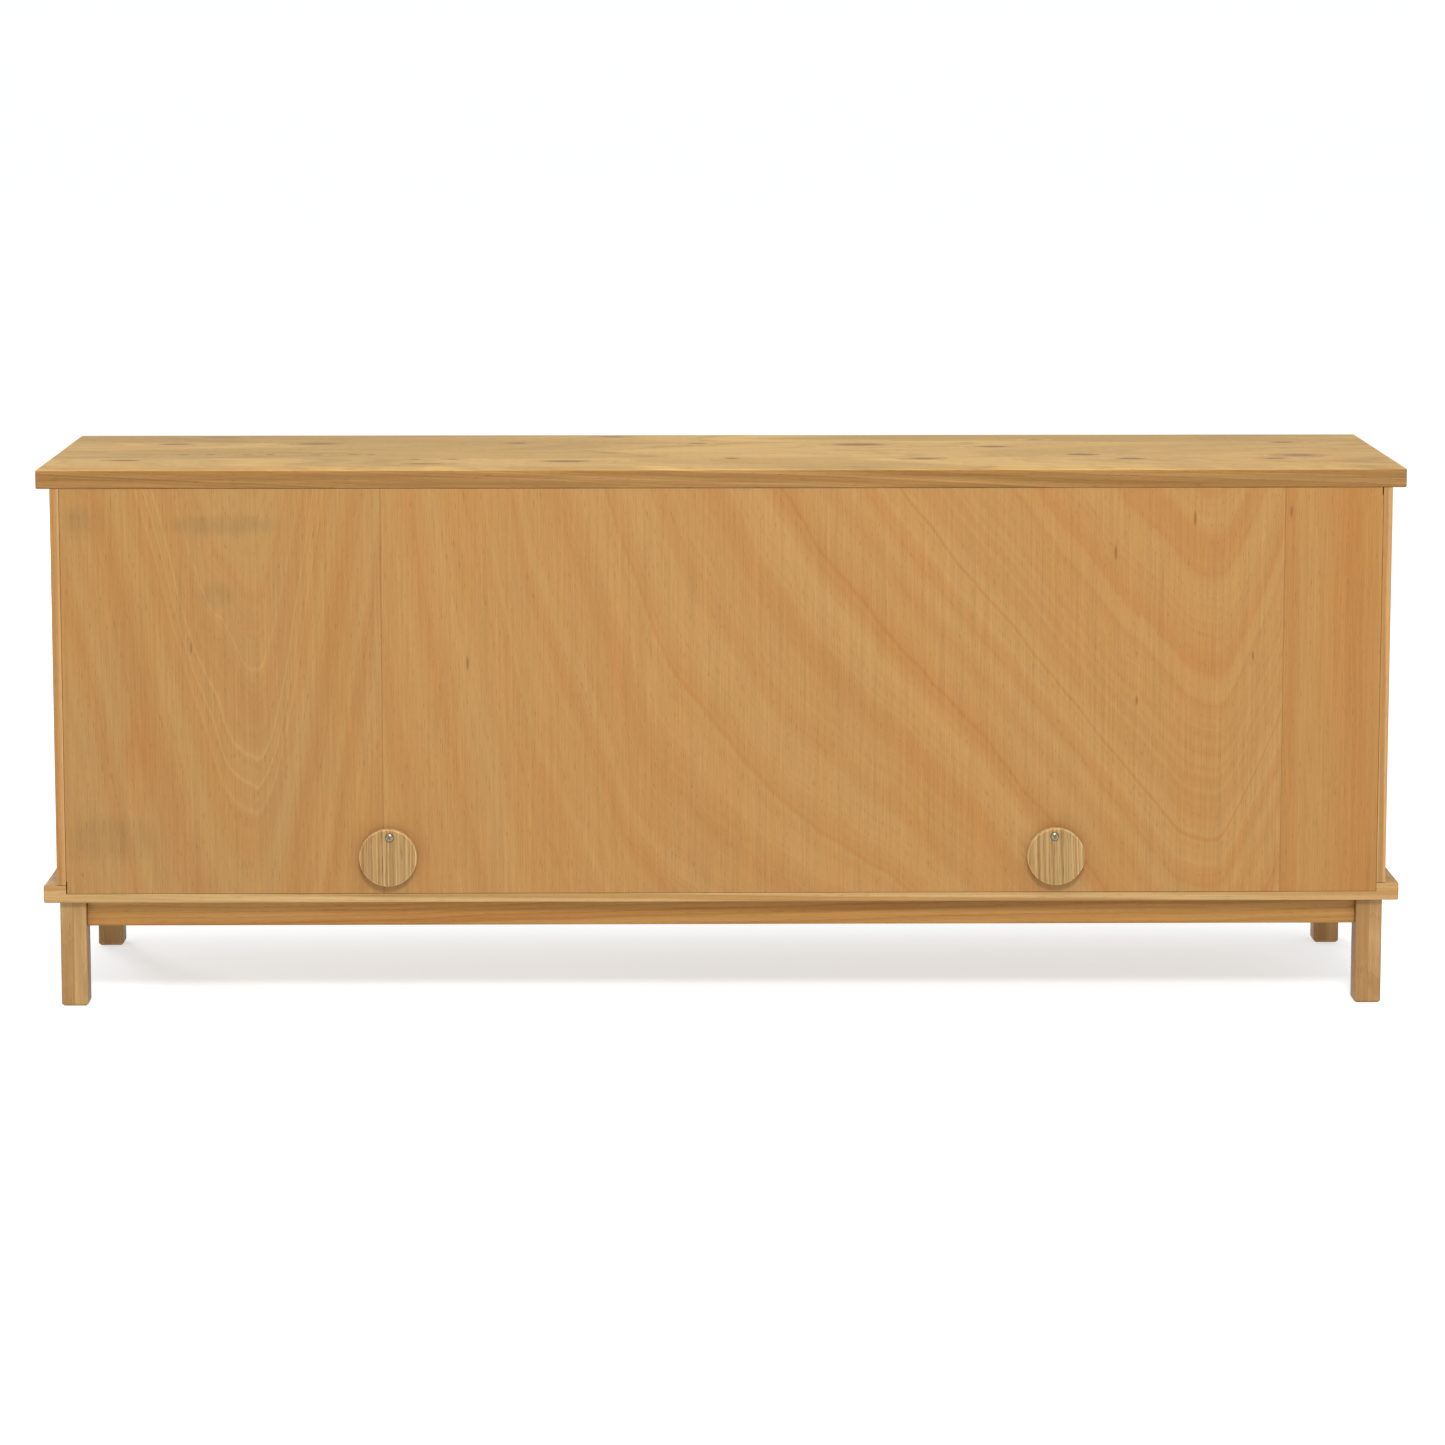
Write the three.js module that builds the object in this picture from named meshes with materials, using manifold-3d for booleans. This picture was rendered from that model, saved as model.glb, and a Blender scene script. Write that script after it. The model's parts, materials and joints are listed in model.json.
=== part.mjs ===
// Oak media cabinet. A carcass of boards stands on a low leg frame. It has two bays, each with
// a shelf, a pair of framed doors in front and a cable hole at the back, and a turned wooden
// cover swivels over each cable hole.
//
// Millimetres, +Z up, the floor is z = 0. The doors face -Y and +X is on a viewer's right.
// Depths are measured from the middle of the boards, and the whole is then moved along Y so
// that the origin is under the middle of the box that holds the knobs and covers too.

import * as THREE from 'three';
import { RoundedBoxGeometry } from 'three/addons/geometries/RoundedBoxGeometry.js';
import { mergeVertices } from 'three/addons/utils/BufferGeometryUtils.js';
import Module from 'manifold-3d';

const wasm = await Module();
wasm.setup();

// ---- Driving dimensions ----

const WIDTH = 1800; // over the ends of the top and bottom boards
const DEPTH = 430; // of the top and bottom boards
const HEIGHT = 720;
const TOP_THICKNESS = 25;
const BOTTOM_THICKNESS = 24;
const BASE_HEIGHT = 142; // floor to the underside of the bottom board
const BOARD_EASE = 2; // radius of a board's worked edges

const END_OVERHANG = 18; // the boards stand out this far past the sides
const FRONT_OVERHANG = 18; // and this far past the doors
const SIDE_THICKNESS = 20;

const BACK_THICKNESS = 9;
const BACK_RECESS = 0.5; // the back panel lies this far inside the rear edges
const BACK_CLEARANCE = 0.5; // round the panel in its rebates
const SIDE_REBATE = 8;
const BOTTOM_REBATE = 12;

const LEG_SIZE = 35;
const LEG_END_INSET = 20; // from the boards' ends to the legs
const LEG_FACE_INSET = 10; // from the body's front and rear faces to the legs
const RAIL_HEIGHT = 35;
const RAIL_THICKNESS = 22;
const RAIL_INSET = 10; // a rail's outer face lies this far inside the legs' faces

const SHELF_THICKNESS = 18;
const SHELF_END_GAP = 2;
const SHELF_REAR_GAP = 5;
const SHELF_FRONT_GAP = 9; // from the doors' inner faces
const PIN_RADIUS = 2.5;
const PIN_HOLE_RADIUS = 2.75;
const PIN_HOLE_DEPTH = 9;
const PIN_LENGTH = 9; // of each end, in the hole and under the shelf
const PIN_COLLAR_RADIUS = 4;
const PIN_COLLAR = 1;
const PIN_INSET = 40; // from the shelf's front and rear edges
const PIN_PITCH = 32; // between the holes in a row
const PIN_LEVELS = [-2, -1, 0, 1, 2]; // holes above and below the shelf's own
const PIN_LEVEL_Z = 420;

const DOOR_THICKNESS = 18;
const DOOR_EDGE_GAP = 2.5; // above and below a door
const HINGE_GAP = 3; // between a door and what it hangs on
const MEETING_GAP = 2; // between the two doors of a bay
const STILE_WIDTH = 60;
const FRAME_EASE = 1.5;
const PANEL_THICKNESS = 8;
const PANEL_TONGUE = 8; // how far the panel runs into the frame's groove
const PANEL_PLAY = 0.5;
const KNOB_LENGTH = 24;
const KNOB_RADIUS = 14;
const KNOB_NECK_RADIUS = 7;
const KNOB_FOOT_RADIUS = 8;
const KNOB_NECK_LENGTH = 9.5;
const KNOB_SWELL = 1.24; // draws the outline's handles out far enough to reach the radius
const KNOB_STEPS = 7; // along its outline
const KNOB_INSET = 30; // from the door's free edge

const HINGE_HEIGHT = 60;
const HINGE_INSET = 80; // from the door's top or bottom edge to the hinge's middle
const LEAF_THICKNESS = 1.25;
const LEAF_DEPTH = 20; // behind the door's face
const KNUCKLE_RADIUS = 3.5;
const HINGE_PIN_RADIUS = 1.75;
const HINGE_PLAY = 0.5;
const HINGE_AXIS_AHEAD = 4; // of the door's face

const CATCH_WIDTH = 52;
const CATCH_DEPTH = 18;
const CATCH_HEIGHT = 14;
const CATCH_GAP = 1.5; // behind the doors, for their strike plates

const CABLE_HOLE_RADIUS = 25;
const CABLE_HOLE_Z = 198;
const COVER_RADIUS = 38.25;
const COVER_THICKNESS = 12;
const COVER_EASE = 1;
const COVER_GAP = 1; // between the back panel and a cover
const COVER_PIVOT_X = 440;
const COVER_PIVOT_Z = 232;
const COVER_ARM = 28; // from the screw to the cover's middle
const COVER_TILT = THREE.MathUtils.degToRad(5); // each cover hangs a little outward
const SCREW_RADIUS = 2;
const SCREW_HOLE_RADIUS = 2.5;
const SCREW_LENGTH = 21.5; // under its head
const SCREW_TIP_RADIUS = 0.75;
const SCREW_TIP_LENGTH = 4;
const SCREW_HEAD_RADIUS = 5.5;
const SCREW_HEAD_HEIGHT = 3;
const SCREW_HEAD_EDGE = 1; // straight part of the head's rim, under its dome
const SCREW_DOME_STEPS = 3;
const SCREW_HEAD_GAP = 0.5;
const SCREW_RECESS = { length: 5, width: 1, depth: 1.5 };

const FINE_ROUND = 40; // flats round a cover or a cable hole
const MIDDLE_ROUND = 16; // round a knob or a screw's head
const SMALL_ROUND = 10; // round a pin or a knuckle
const CUT_THROUGH = 2; // how far a cutter runs past the face that it cuts

// ---- Places that follow from them ----

const frontEdge = -DEPTH / 2;
const rearEdge = DEPTH / 2;
const floorTop = BASE_HEIGHT + BOTTOM_THICKNESS;
const ceiling = HEIGHT - TOP_THICKNESS;
const sideOuter = WIDTH / 2 - END_OVERHANG;
const sideInner = sideOuter - SIDE_THICKNESS;
const partitionHalf = SIDE_THICKNESS / 2;
const doorFace = frontEdge + FRONT_OVERHANG;
const doorRear = doorFace + DOOR_THICKNESS;
const backRear = rearEdge - BACK_RECESS;
const backFront = backRear - BACK_THICKNESS;
const hingeAxisY = doorFace - HINGE_AXIS_AHEAD;
const bayMiddle = (partitionHalf + sideInner) / 2;
const legOuter = WIDTH / 2 - LEG_END_INSET;
const legFront = doorFace + LEG_FACE_INSET;
const legRear = rearEdge - LEG_FACE_INSET;
const shelfFront = doorRear + SHELF_FRONT_GAP;
const shelfRear = backFront - SHELF_REAR_GAP;
const coverFront = backRear + COVER_GAP;
const screwSeat = coverFront + COVER_THICKNESS + SCREW_HEAD_GAP;
const wholeMiddleY = (screwSeat + SCREW_HEAD_HEIGHT + doorFace - KNOB_LENGTH) / 2;

// ---- Finishes ----

const finish = (color, roughness, metalness = 0) => () =>
  new THREE.MeshStandardMaterial({ color, roughness, metalness });

const oakBoard = finish(0xcdaa73, 0.55);
const oakLeg = finish(0xbb9261, 0.6);
const oakVeneer = finish(0xc4945a, 0.6);
const oakDoor = finish(0xc39a62, 0.55);
const oakCover = finish(0xb99664, 0.6);
const brass = finish(0xb08d4a, 0.35, 1);
const steel = finish(0xc9c4ba, 0.3, 1);
const catchPlastic = finish(0x5a4634, 0.6);

// ---- Solids ----

const cabinet = new THREE.Group();
cabinet.position.y = -wholeMiddleY;

function add(name, geometry, material, parent = cabinet) {
  const mesh = new THREE.Mesh(geometry, material());
  mesh.name = name;
  parent.add(mesh);
  return mesh;
}

// A box between two corners, given as [low, high] along each axis.
function block([x0, x1], [y0, y1], [z0, z1]) {
  const geometry = new THREE.BoxGeometry(x1 - x0, y1 - y0, z1 - z0);
  return geometry.translate((x0 + x1) / 2, (y0 + y1) / 2, (z0 + z1) / 2);
}

// The same box with its edges worked round.
function easedBlock([x0, x1], [y0, y1], [z0, z1], ease = BOARD_EASE) {
  const geometry = new RoundedBoxGeometry(x1 - x0, y1 - y0, z1 - z0, 1, ease);
  return geometry.translate((x0 + x1) / 2, (y0 + y1) / 2, (z0 + z1) / 2);
}

// A round bar along an axis, from the point given and length long.
function bar(axis, radius, length, [x, y, z], flats = SMALL_ROUND) {
  const geometry = new THREE.CylinderGeometry(radius, radius, length, flats);
  if (axis === 'x') geometry.rotateZ(-Math.PI / 2);
  if (axis === 'z') geometry.rotateX(Math.PI / 2);
  const half = length / 2;
  const middle = { x: [x + half, y, z], y: [x, y + half, z], z: [x, y, z + half] }[axis];
  return geometry.translate(...middle);
}

function toSolid(geometry) {
  const bare = geometry.clone();
  bare.deleteAttribute('normal');
  bare.deleteAttribute('uv');
  const merged = mergeVertices(bare);
  return new wasm.Manifold(new wasm.Mesh({
    numProp: 3,
    vertProperties: new Float32Array(merged.attributes.position.array),
    triVerts: new Uint32Array(merged.index.array),
  }));
}

function toGeometry(manifold) {
  const mesh = manifold.getMesh();
  const geometry = new THREE.BufferGeometry();
  geometry.setAttribute('position', new THREE.BufferAttribute(mesh.vertProperties, 3));
  geometry.setIndex(new THREE.BufferAttribute(mesh.triVerts, 1));
  geometry.computeVertexNormals();
  return geometry;
}

function cut(geometry, cutters) {
  const rest = cutters.reduce((body, cutter) => body.subtract(toSolid(cutter)), toSolid(geometry));
  return toGeometry(rest);
}

function join(geometries) {
  const [first, ...others] = geometries.map(toSolid);
  return toGeometry(others.reduce((body, other) => body.add(other), first));
}

// Both ends of a span on the -X or +X half of the cabinet, low end first.
function onHalf(half, near, far) {
  return half > 0 ? [near, far] : [-far, -near];
}

// ---- Top and bottom boards ----

function buildBoards() {
  const across = [-WIDTH / 2, WIDTH / 2];
  const along = [frontEdge, rearEdge];
  add('top_board', easedBlock(across, along, [ceiling, HEIGHT]), oakBoard);

  const rebateEnd = sideInner + SIDE_REBATE;
  const rebate = block(
    [-rebateEnd, rebateEnd],
    [backFront, rearEdge + CUT_THROUGH],
    [floorTop - BOTTOM_REBATE, floorTop + CUT_THROUGH],
  );
  const bottom = easedBlock(across, along, [BASE_HEIGHT, floorTop]);
  add('bottom_board', cut(bottom, [rebate]), oakBoard);
}

// ---- Sides, partition and back ----

// The rows of shelf pin holes that open in the face at faceX, and run in towards toward (+1 or -1).
function pinHoles(faceX, toward) {
  const start = toward > 0 ? faceX - CUT_THROUGH : faceX - PIN_HOLE_DEPTH;
  const length = PIN_HOLE_DEPTH + CUT_THROUGH;
  return [shelfFront + PIN_INSET, shelfRear - PIN_INSET].flatMap((y) =>
    PIN_LEVELS.map((level) => {
      const z = PIN_LEVEL_Z + level * PIN_PITCH;
      return bar('x', PIN_HOLE_RADIUS, length, [start, y, z]);
    }));
}

function buildSides() {
  for (const [name, half] of [['left_side', -1], ['right_side', 1]]) {
    const board = easedBlock(
      onHalf(half, sideInner, sideOuter), [doorFace, rearEdge], [floorTop, ceiling], 1,
    );
    const rebate = block(
      onHalf(half, sideInner - CUT_THROUGH, sideInner + SIDE_REBATE),
      [backFront, rearEdge + CUT_THROUGH],
      [floorTop - CUT_THROUGH, ceiling + CUT_THROUGH],
    );
    add(name, cut(board, [rebate, ...pinHoles(half * sideInner, half)]), oakBoard);
  }
}

function buildPartition() {
  const board = easedBlock(
    [-partitionHalf, partitionHalf], [doorFace, backFront], [floorTop, ceiling], 1,
  );
  const holes = [...pinHoles(-partitionHalf, 1), ...pinHoles(partitionHalf, -1)];
  add('partition', cut(board, holes), oakBoard);
}

function buildBack() {
  const halfWidth = sideInner + SIDE_REBATE - BACK_CLEARANCE;
  const panel = block(
    [-halfWidth, halfWidth],
    [backFront, backRear],
    [floorTop - BOTTOM_REBATE + BACK_CLEARANCE, ceiling],
  );
  const start = backFront - CUT_THROUGH;
  const length = BACK_THICKNESS + 2 * CUT_THROUGH;
  const holes = [-1, 1].flatMap((half) => {
    const x = half * COVER_PIVOT_X;
    return [
      bar('y', CABLE_HOLE_RADIUS, length, [x, start, CABLE_HOLE_Z], FINE_ROUND),
      bar('y', SCREW_HOLE_RADIUS, length, [x, start, COVER_PIVOT_Z]),
    ];
  });
  add('back_panel', cut(panel, holes), oakVeneer);
}

// ---- Shelves ----

// A turned pin along X with a collar at the wall's face. It points away from the wall.
function shelfPin(faceX, y, toward) {
  const profile = [
    [0, -PIN_LENGTH + PIN_COLLAR],
    [PIN_RADIUS, -PIN_LENGTH + PIN_COLLAR],
    [PIN_RADIUS, 0],
    [PIN_COLLAR_RADIUS, 0],
    [PIN_COLLAR_RADIUS, PIN_COLLAR],
    [PIN_RADIUS, PIN_COLLAR],
    [PIN_RADIUS, PIN_LENGTH - PIN_COLLAR],
    [PIN_RADIUS - PIN_COLLAR, PIN_LENGTH],
    [0, PIN_LENGTH],
  ].map(([radius, height]) => new THREE.Vector2(radius, height));
  const pin = new THREE.LatheGeometry(profile, SMALL_ROUND);
  pin.rotateZ(toward > 0 ? -Math.PI / 2 : Math.PI / 2);
  return pin.translate(faceX, y, PIN_LEVEL_Z);
}

function buildShelves() {
  for (const [bay, half] of [['left', -1], ['right', 1]]) {
    const underside = PIN_LEVEL_Z + PIN_RADIUS;
    const shelf = easedBlock(
      onHalf(half, partitionHalf + SHELF_END_GAP, sideInner - SHELF_END_GAP),
      [shelfFront, shelfRear],
      [underside, underside + SHELF_THICKNESS],
    );
    add(`${bay}_shelf`, shelf, oakBoard);

    let count = 1;
    for (const y of [shelfFront + PIN_INSET, shelfRear - PIN_INSET]) {
      add(`${bay}_shelf_pin_${count}`, shelfPin(half * partitionHalf, y, half), steel);
      add(`${bay}_shelf_pin_${count + 1}`, shelfPin(half * sideInner, y, -half), steel);
      count += 2;
    }
  }
}

// ---- Leg frame ----

function buildLegFrame() {
  const legInner = legOuter - LEG_SIZE;
  const ends = [['left', -1], ['right', 1]];
  for (const [end, half] of ends) {
    const across = onHalf(half, legInner, legOuter);
    const upright = [0, BASE_HEIGHT];
    add(`front_${end}_leg`, easedBlock(across, [legFront, legFront + LEG_SIZE], upright), oakLeg);
    add(`rear_${end}_leg`, easedBlock(across, [legRear - LEG_SIZE, legRear], upright), oakLeg);
  }

  const high = [BASE_HEIGHT - RAIL_HEIGHT, BASE_HEIGHT];
  const frontOuter = legFront + RAIL_INSET;
  const rearOuter = legRear - RAIL_INSET;
  const between = [-legInner, legInner];
  const frontSpan = [frontOuter, frontOuter + RAIL_THICKNESS];
  const rearSpan = [rearOuter - RAIL_THICKNESS, rearOuter];
  add('front_rail', easedBlock(between, frontSpan, high, 1), oakLeg);
  add('rear_rail', easedBlock(between, rearSpan, high, 1), oakLeg);
  for (const [end, half] of ends) {
    const railOuter = legOuter - RAIL_INSET;
    const across = onHalf(half, railOuter - RAIL_THICKNESS, railOuter);
    const along = [legFront + LEG_SIZE, legRear - LEG_SIZE];
    add(`${end}_rail`, easedBlock(across, along, high, 1), oakLeg);
  }
  const middle = [-RAIL_THICKNESS / 2, RAIL_THICKNESS / 2];
  add('centre_rail', easedBlock(middle, [frontSpan[1], rearSpan[0]], high, 1), oakLeg);
}

// ---- Doors ----

function doorFrame([x0, x1], [z0, z1]) {
  const outline = new THREE.Shape([
    new THREE.Vector2(x0, z0),
    new THREE.Vector2(x1, z0),
    new THREE.Vector2(x1, z1),
    new THREE.Vector2(x0, z1),
  ]);
  const [left, right] = [x0 + STILE_WIDTH, x1 - STILE_WIDTH];
  const [low, high] = [z0 + STILE_WIDTH, z1 - STILE_WIDTH];
  outline.holes.push(new THREE.Path([
    new THREE.Vector2(left, low),
    new THREE.Vector2(left, high),
    new THREE.Vector2(right, high),
    new THREE.Vector2(right, low),
  ]));
  const frame = new THREE.ExtrudeGeometry(outline, {
    depth: DOOR_THICKNESS - 2 * FRAME_EASE,
    bevelThickness: FRAME_EASE,
    bevelSize: FRAME_EASE,
    bevelOffset: -FRAME_EASE,
    bevelSegments: 1,
  });
  frame.translate(0, 0, FRAME_EASE).rotateX(Math.PI / 2).translate(0, doorRear, 0);

  const reach = PANEL_TONGUE + PANEL_PLAY;
  const middle = (doorFace + doorRear) / 2;
  const halfGroove = PANEL_THICKNESS / 2 + PANEL_PLAY;
  const groove = block(
    [left - reach, right + reach], [middle - halfGroove, middle + halfGroove], [low - reach, high + reach],
  );
  return cut(frame, [groove]);
}

function doorPanel([x0, x1], [z0, z1]) {
  const inset = STILE_WIDTH - PANEL_TONGUE;
  const middle = (doorFace + doorRear) / 2;
  const half = PANEL_THICKNESS / 2;
  return block([x0 + inset, x1 - inset], [middle - half, middle + half], [z0 + inset, z1 - inset]);
}

// A turned knob on the door's face, pointing forward.
function knob(x, z) {
  const crown = new THREE.CubicBezierCurve(
    new THREE.Vector2(KNOB_NECK_RADIUS, -KNOB_NECK_LENGTH),
    new THREE.Vector2(KNOB_RADIUS * KNOB_SWELL, -KNOB_NECK_LENGTH),
    new THREE.Vector2(KNOB_RADIUS * KNOB_SWELL, -KNOB_LENGTH),
    new THREE.Vector2(0, -KNOB_LENGTH),
  );
  const profile = [
    ...crown.getPoints(KNOB_STEPS).reverse(),
    new THREE.Vector2(KNOB_FOOT_RADIUS, 0),
    new THREE.Vector2(0, 0),
  ];
  return new THREE.LatheGeometry(profile, MIDDLE_ROUND).translate(x, doorFace, z);
}

// One leaf of a butt hinge with its knuckles. The leaf lies on the side of the pin that toward
// names (+1 or -1), and the knuckles fill the spans that it owns.
function hingeLeaf(axisX, middleZ, toward, ownedSpans, others) {
  const inner = HINGE_GAP / 2 - LEAF_THICKNESS;
  const low = middleZ - HINGE_HEIGHT / 2;
  const high = middleZ + HINGE_HEIGHT / 2;
  const across = toward > 0
    ? [axisX + inner, axisX + inner + LEAF_THICKNESS]
    : [axisX - inner - LEAF_THICKNESS, axisX - inner];
  const plate = block(across, [hingeAxisY, doorFace + LEAF_DEPTH], [low, high]);
  const clear = KNUCKLE_RADIUS + HINGE_PLAY / 2;
  const notches = others.map(([z0, z1]) => block(
    [axisX - HINGE_GAP, axisX + HINGE_GAP],
    [hingeAxisY - clear, hingeAxisY + clear],
    [z0, z1],
  ));
  const knuckles = ownedSpans.map(([z0, z1]) =>
    bar('z', KNUCKLE_RADIUS, z1 - z0, [axisX, hingeAxisY, z0]));
  return join([cut(plate, notches), ...knuckles]);
}

// A three-knuckle hinge: the fixed leaf owns the outer knuckles and the pin, and the door's
// leaf owns the middle one, bored to turn on the pin.
function buildHinge(name, axisX, middleZ, fixedToward) {
  const third = HINGE_HEIGHT / 3;
  const low = middleZ - HINGE_HEIGHT / 2;
  const high = middleZ + HINGE_HEIGHT / 2;
  const outerSpans = [[low, low + third], [high - third, high]];
  const middleSpan = [low + third + HINGE_PLAY, high - third - HINGE_PLAY];
  const middleNotch = [[low + third, high - third]];
  const outerNotches = [
    [low - CUT_THROUGH, low + third + HINGE_PLAY],
    [high - third - HINGE_PLAY, high + CUT_THROUGH],
  ];

  const pin = bar('z', HINGE_PIN_RADIUS, HINGE_HEIGHT, [axisX, hingeAxisY, low]);
  const fixedLeaf = hingeLeaf(axisX, middleZ, fixedToward, outerSpans, middleNotch);
  add(`${name}_fixed_leaf`, join([fixedLeaf, pin]), brass);

  const bore = bar('z', HINGE_PIN_RADIUS + HINGE_PLAY / 2, HINGE_HEIGHT, [axisX, hingeAxisY, low]);
  const doorLeaf = hingeLeaf(axisX, middleZ, -fixedToward, [middleSpan], outerNotches);
  add(`${name}_door_leaf`, cut(doorLeaf, [bore]), brass);
}

function buildDoors() {
  const height = [floorTop + DOOR_EDGE_GAP, ceiling - DOOR_EDGE_GAP];
  const middleZ = (height[0] + height[1]) / 2;
  for (const [bay, half] of [['left', -1], ['right', 1]]) {
    // The outer door hangs on the side and the inner one on the partition.
    const doors = [
      {
        name: `${bay}_outer_door`,
        span: [bayMiddle + MEETING_GAP / 2, sideInner - HINGE_GAP],
        axis: sideInner - HINGE_GAP / 2,
        knobAt: bayMiddle + MEETING_GAP / 2 + KNOB_INSET,
        fixedToward: half,
      },
      {
        name: `${bay}_inner_door`,
        span: [partitionHalf + HINGE_GAP, bayMiddle - MEETING_GAP / 2],
        axis: partitionHalf + HINGE_GAP / 2,
        knobAt: bayMiddle - MEETING_GAP / 2 - KNOB_INSET,
        fixedToward: -half,
      },
    ];
    for (const { name, span, axis, knobAt, fixedToward } of doors) {
      const across = onHalf(half, ...span);
      add(`${name}_frame`, doorFrame(across, height), oakDoor);
      add(`${name}_panel`, doorPanel(across, height), oakDoor);
      add(`${name}_knob`, knob(half * knobAt, middleZ), oakCover);
      buildHinge(`${name}_upper`, half * axis, height[1] - HINGE_INSET, fixedToward);
      buildHinge(`${name}_lower`, half * axis, height[0] + HINGE_INSET, fixedToward);
    }
  }
}

// A double magnetic catch under the top board, behind the meeting edges of a bay's two doors.
function buildCatches() {
  for (const [bay, half] of [['left', -1], ['right', 1]]) {
    const middle = half * bayMiddle;
    const body = easedBlock(
      [middle - CATCH_WIDTH / 2, middle + CATCH_WIDTH / 2],
      [doorRear + CATCH_GAP, doorRear + CATCH_GAP + CATCH_DEPTH],
      [ceiling - CATCH_HEIGHT, ceiling],
    );
    add(`${bay}_catch`, body, catchPlastic);
  }
}

// ---- Cable-hole covers ----

// A turned disc with its screw hole at the origin and its middle COVER_ARM below.
function coverDisc() {
  const inner = COVER_RADIUS - COVER_EASE;
  const profile = [
    [0, 0],
    [inner, 0],
    [COVER_RADIUS, COVER_EASE],
    [COVER_RADIUS, COVER_THICKNESS - COVER_EASE],
    [inner, COVER_THICKNESS],
    [0, COVER_THICKNESS],
  ].map(([radius, height]) => new THREE.Vector2(radius, height));
  const disc = new THREE.LatheGeometry(profile, FINE_ROUND).translate(0, 0, -COVER_ARM);
  const length = COVER_THICKNESS + 2 * CUT_THROUGH;
  return cut(disc, [bar('y', SCREW_HOLE_RADIUS, length, [0, -CUT_THROUGH, 0])]);
}

// A pan-head screw with a cross recess. The underside of its head is at the origin.
function coverScrew() {
  const shank = [
    [0, -SCREW_LENGTH],
    [SCREW_TIP_RADIUS, -SCREW_LENGTH],
    [SCREW_RADIUS, -SCREW_LENGTH + SCREW_TIP_LENGTH],
    [SCREW_RADIUS, 0],
    [SCREW_HEAD_RADIUS, 0],
  ].map(([radius, height]) => new THREE.Vector2(radius, height));
  const domeHeight = SCREW_HEAD_HEIGHT - SCREW_HEAD_EDGE;
  const dome = new THREE.EllipseCurve(0, SCREW_HEAD_EDGE, SCREW_HEAD_RADIUS, domeHeight, 0, Math.PI / 2)
    .getPoints(SCREW_DOME_STEPS);
  dome[SCREW_DOME_STEPS].x = 0;
  const profile = [...shank, ...dome];
  const screw = new THREE.LatheGeometry(profile, MIDDLE_ROUND);
  const { length, width, depth } = SCREW_RECESS;
  const deep = [SCREW_HEAD_HEIGHT - depth, SCREW_HEAD_HEIGHT + CUT_THROUGH];
  const long = [-length / 2, length / 2];
  const narrow = [-width / 2, width / 2];
  return cut(screw, [block(long, deep, narrow), block(narrow, deep, long)]);
}

function buildCovers() {
  for (const [end, half] of [['left', -1], ['right', 1]]) {
    const hung = new THREE.Group();
    hung.position.set(half * COVER_PIVOT_X, coverFront, COVER_PIVOT_Z);
    hung.rotation.y = -half * COVER_TILT;
    cabinet.add(hung);
    add(`${end}_cable_cover`, coverDisc(), oakCover, hung);

    const screw = add(`${end}_cover_screw`, coverScrew(), steel);
    screw.position.set(half * COVER_PIVOT_X, screwSeat, COVER_PIVOT_Z);
  }
}

buildBoards();
buildSides();
buildPartition();
buildBack();
buildShelves();
buildLegFrame();
buildDoors();
buildCatches();
buildCovers();

export default cabinet;
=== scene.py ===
import json
import math

import bmesh
import bpy
from bpy.props import FloatProperty, FloatVectorProperty, PointerProperty
from mathutils import Matrix, Vector

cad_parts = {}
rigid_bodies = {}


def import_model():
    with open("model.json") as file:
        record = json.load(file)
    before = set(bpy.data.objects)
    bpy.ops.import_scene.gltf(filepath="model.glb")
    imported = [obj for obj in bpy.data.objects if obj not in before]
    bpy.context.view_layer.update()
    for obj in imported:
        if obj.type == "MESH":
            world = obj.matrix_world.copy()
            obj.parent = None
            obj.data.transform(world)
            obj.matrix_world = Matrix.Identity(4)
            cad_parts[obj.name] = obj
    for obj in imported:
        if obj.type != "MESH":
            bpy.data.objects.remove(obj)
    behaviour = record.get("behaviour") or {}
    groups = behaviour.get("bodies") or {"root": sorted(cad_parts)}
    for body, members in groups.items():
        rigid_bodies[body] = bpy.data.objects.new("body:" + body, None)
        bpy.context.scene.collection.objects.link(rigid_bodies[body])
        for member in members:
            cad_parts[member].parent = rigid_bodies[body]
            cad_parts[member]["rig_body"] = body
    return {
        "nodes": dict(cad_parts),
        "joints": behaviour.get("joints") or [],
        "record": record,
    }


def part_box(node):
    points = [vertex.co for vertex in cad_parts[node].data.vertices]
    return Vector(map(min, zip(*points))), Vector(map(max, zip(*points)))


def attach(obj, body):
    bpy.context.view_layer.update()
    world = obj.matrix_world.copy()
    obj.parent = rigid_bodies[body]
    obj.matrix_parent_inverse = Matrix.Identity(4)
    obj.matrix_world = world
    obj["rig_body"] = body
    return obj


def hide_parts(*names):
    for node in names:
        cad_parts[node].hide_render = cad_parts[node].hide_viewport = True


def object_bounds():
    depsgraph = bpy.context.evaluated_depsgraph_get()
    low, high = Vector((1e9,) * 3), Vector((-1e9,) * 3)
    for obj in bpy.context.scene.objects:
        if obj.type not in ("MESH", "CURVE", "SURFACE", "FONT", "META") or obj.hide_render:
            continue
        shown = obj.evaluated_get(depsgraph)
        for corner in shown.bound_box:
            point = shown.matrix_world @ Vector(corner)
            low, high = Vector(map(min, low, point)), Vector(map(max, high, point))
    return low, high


bl_info = {
    "name": "Oak media cabinet",
    "version": (1, 0, 0),
    "blender": (4, 5, 0),
    "location": "3D View > Sidebar > Cabinet",
    "description": "Finishes an oak cabinet with two bays, framed doors and turned cable-hole covers",
    "category": "Object",
}

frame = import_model()
cad_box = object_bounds()

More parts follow.
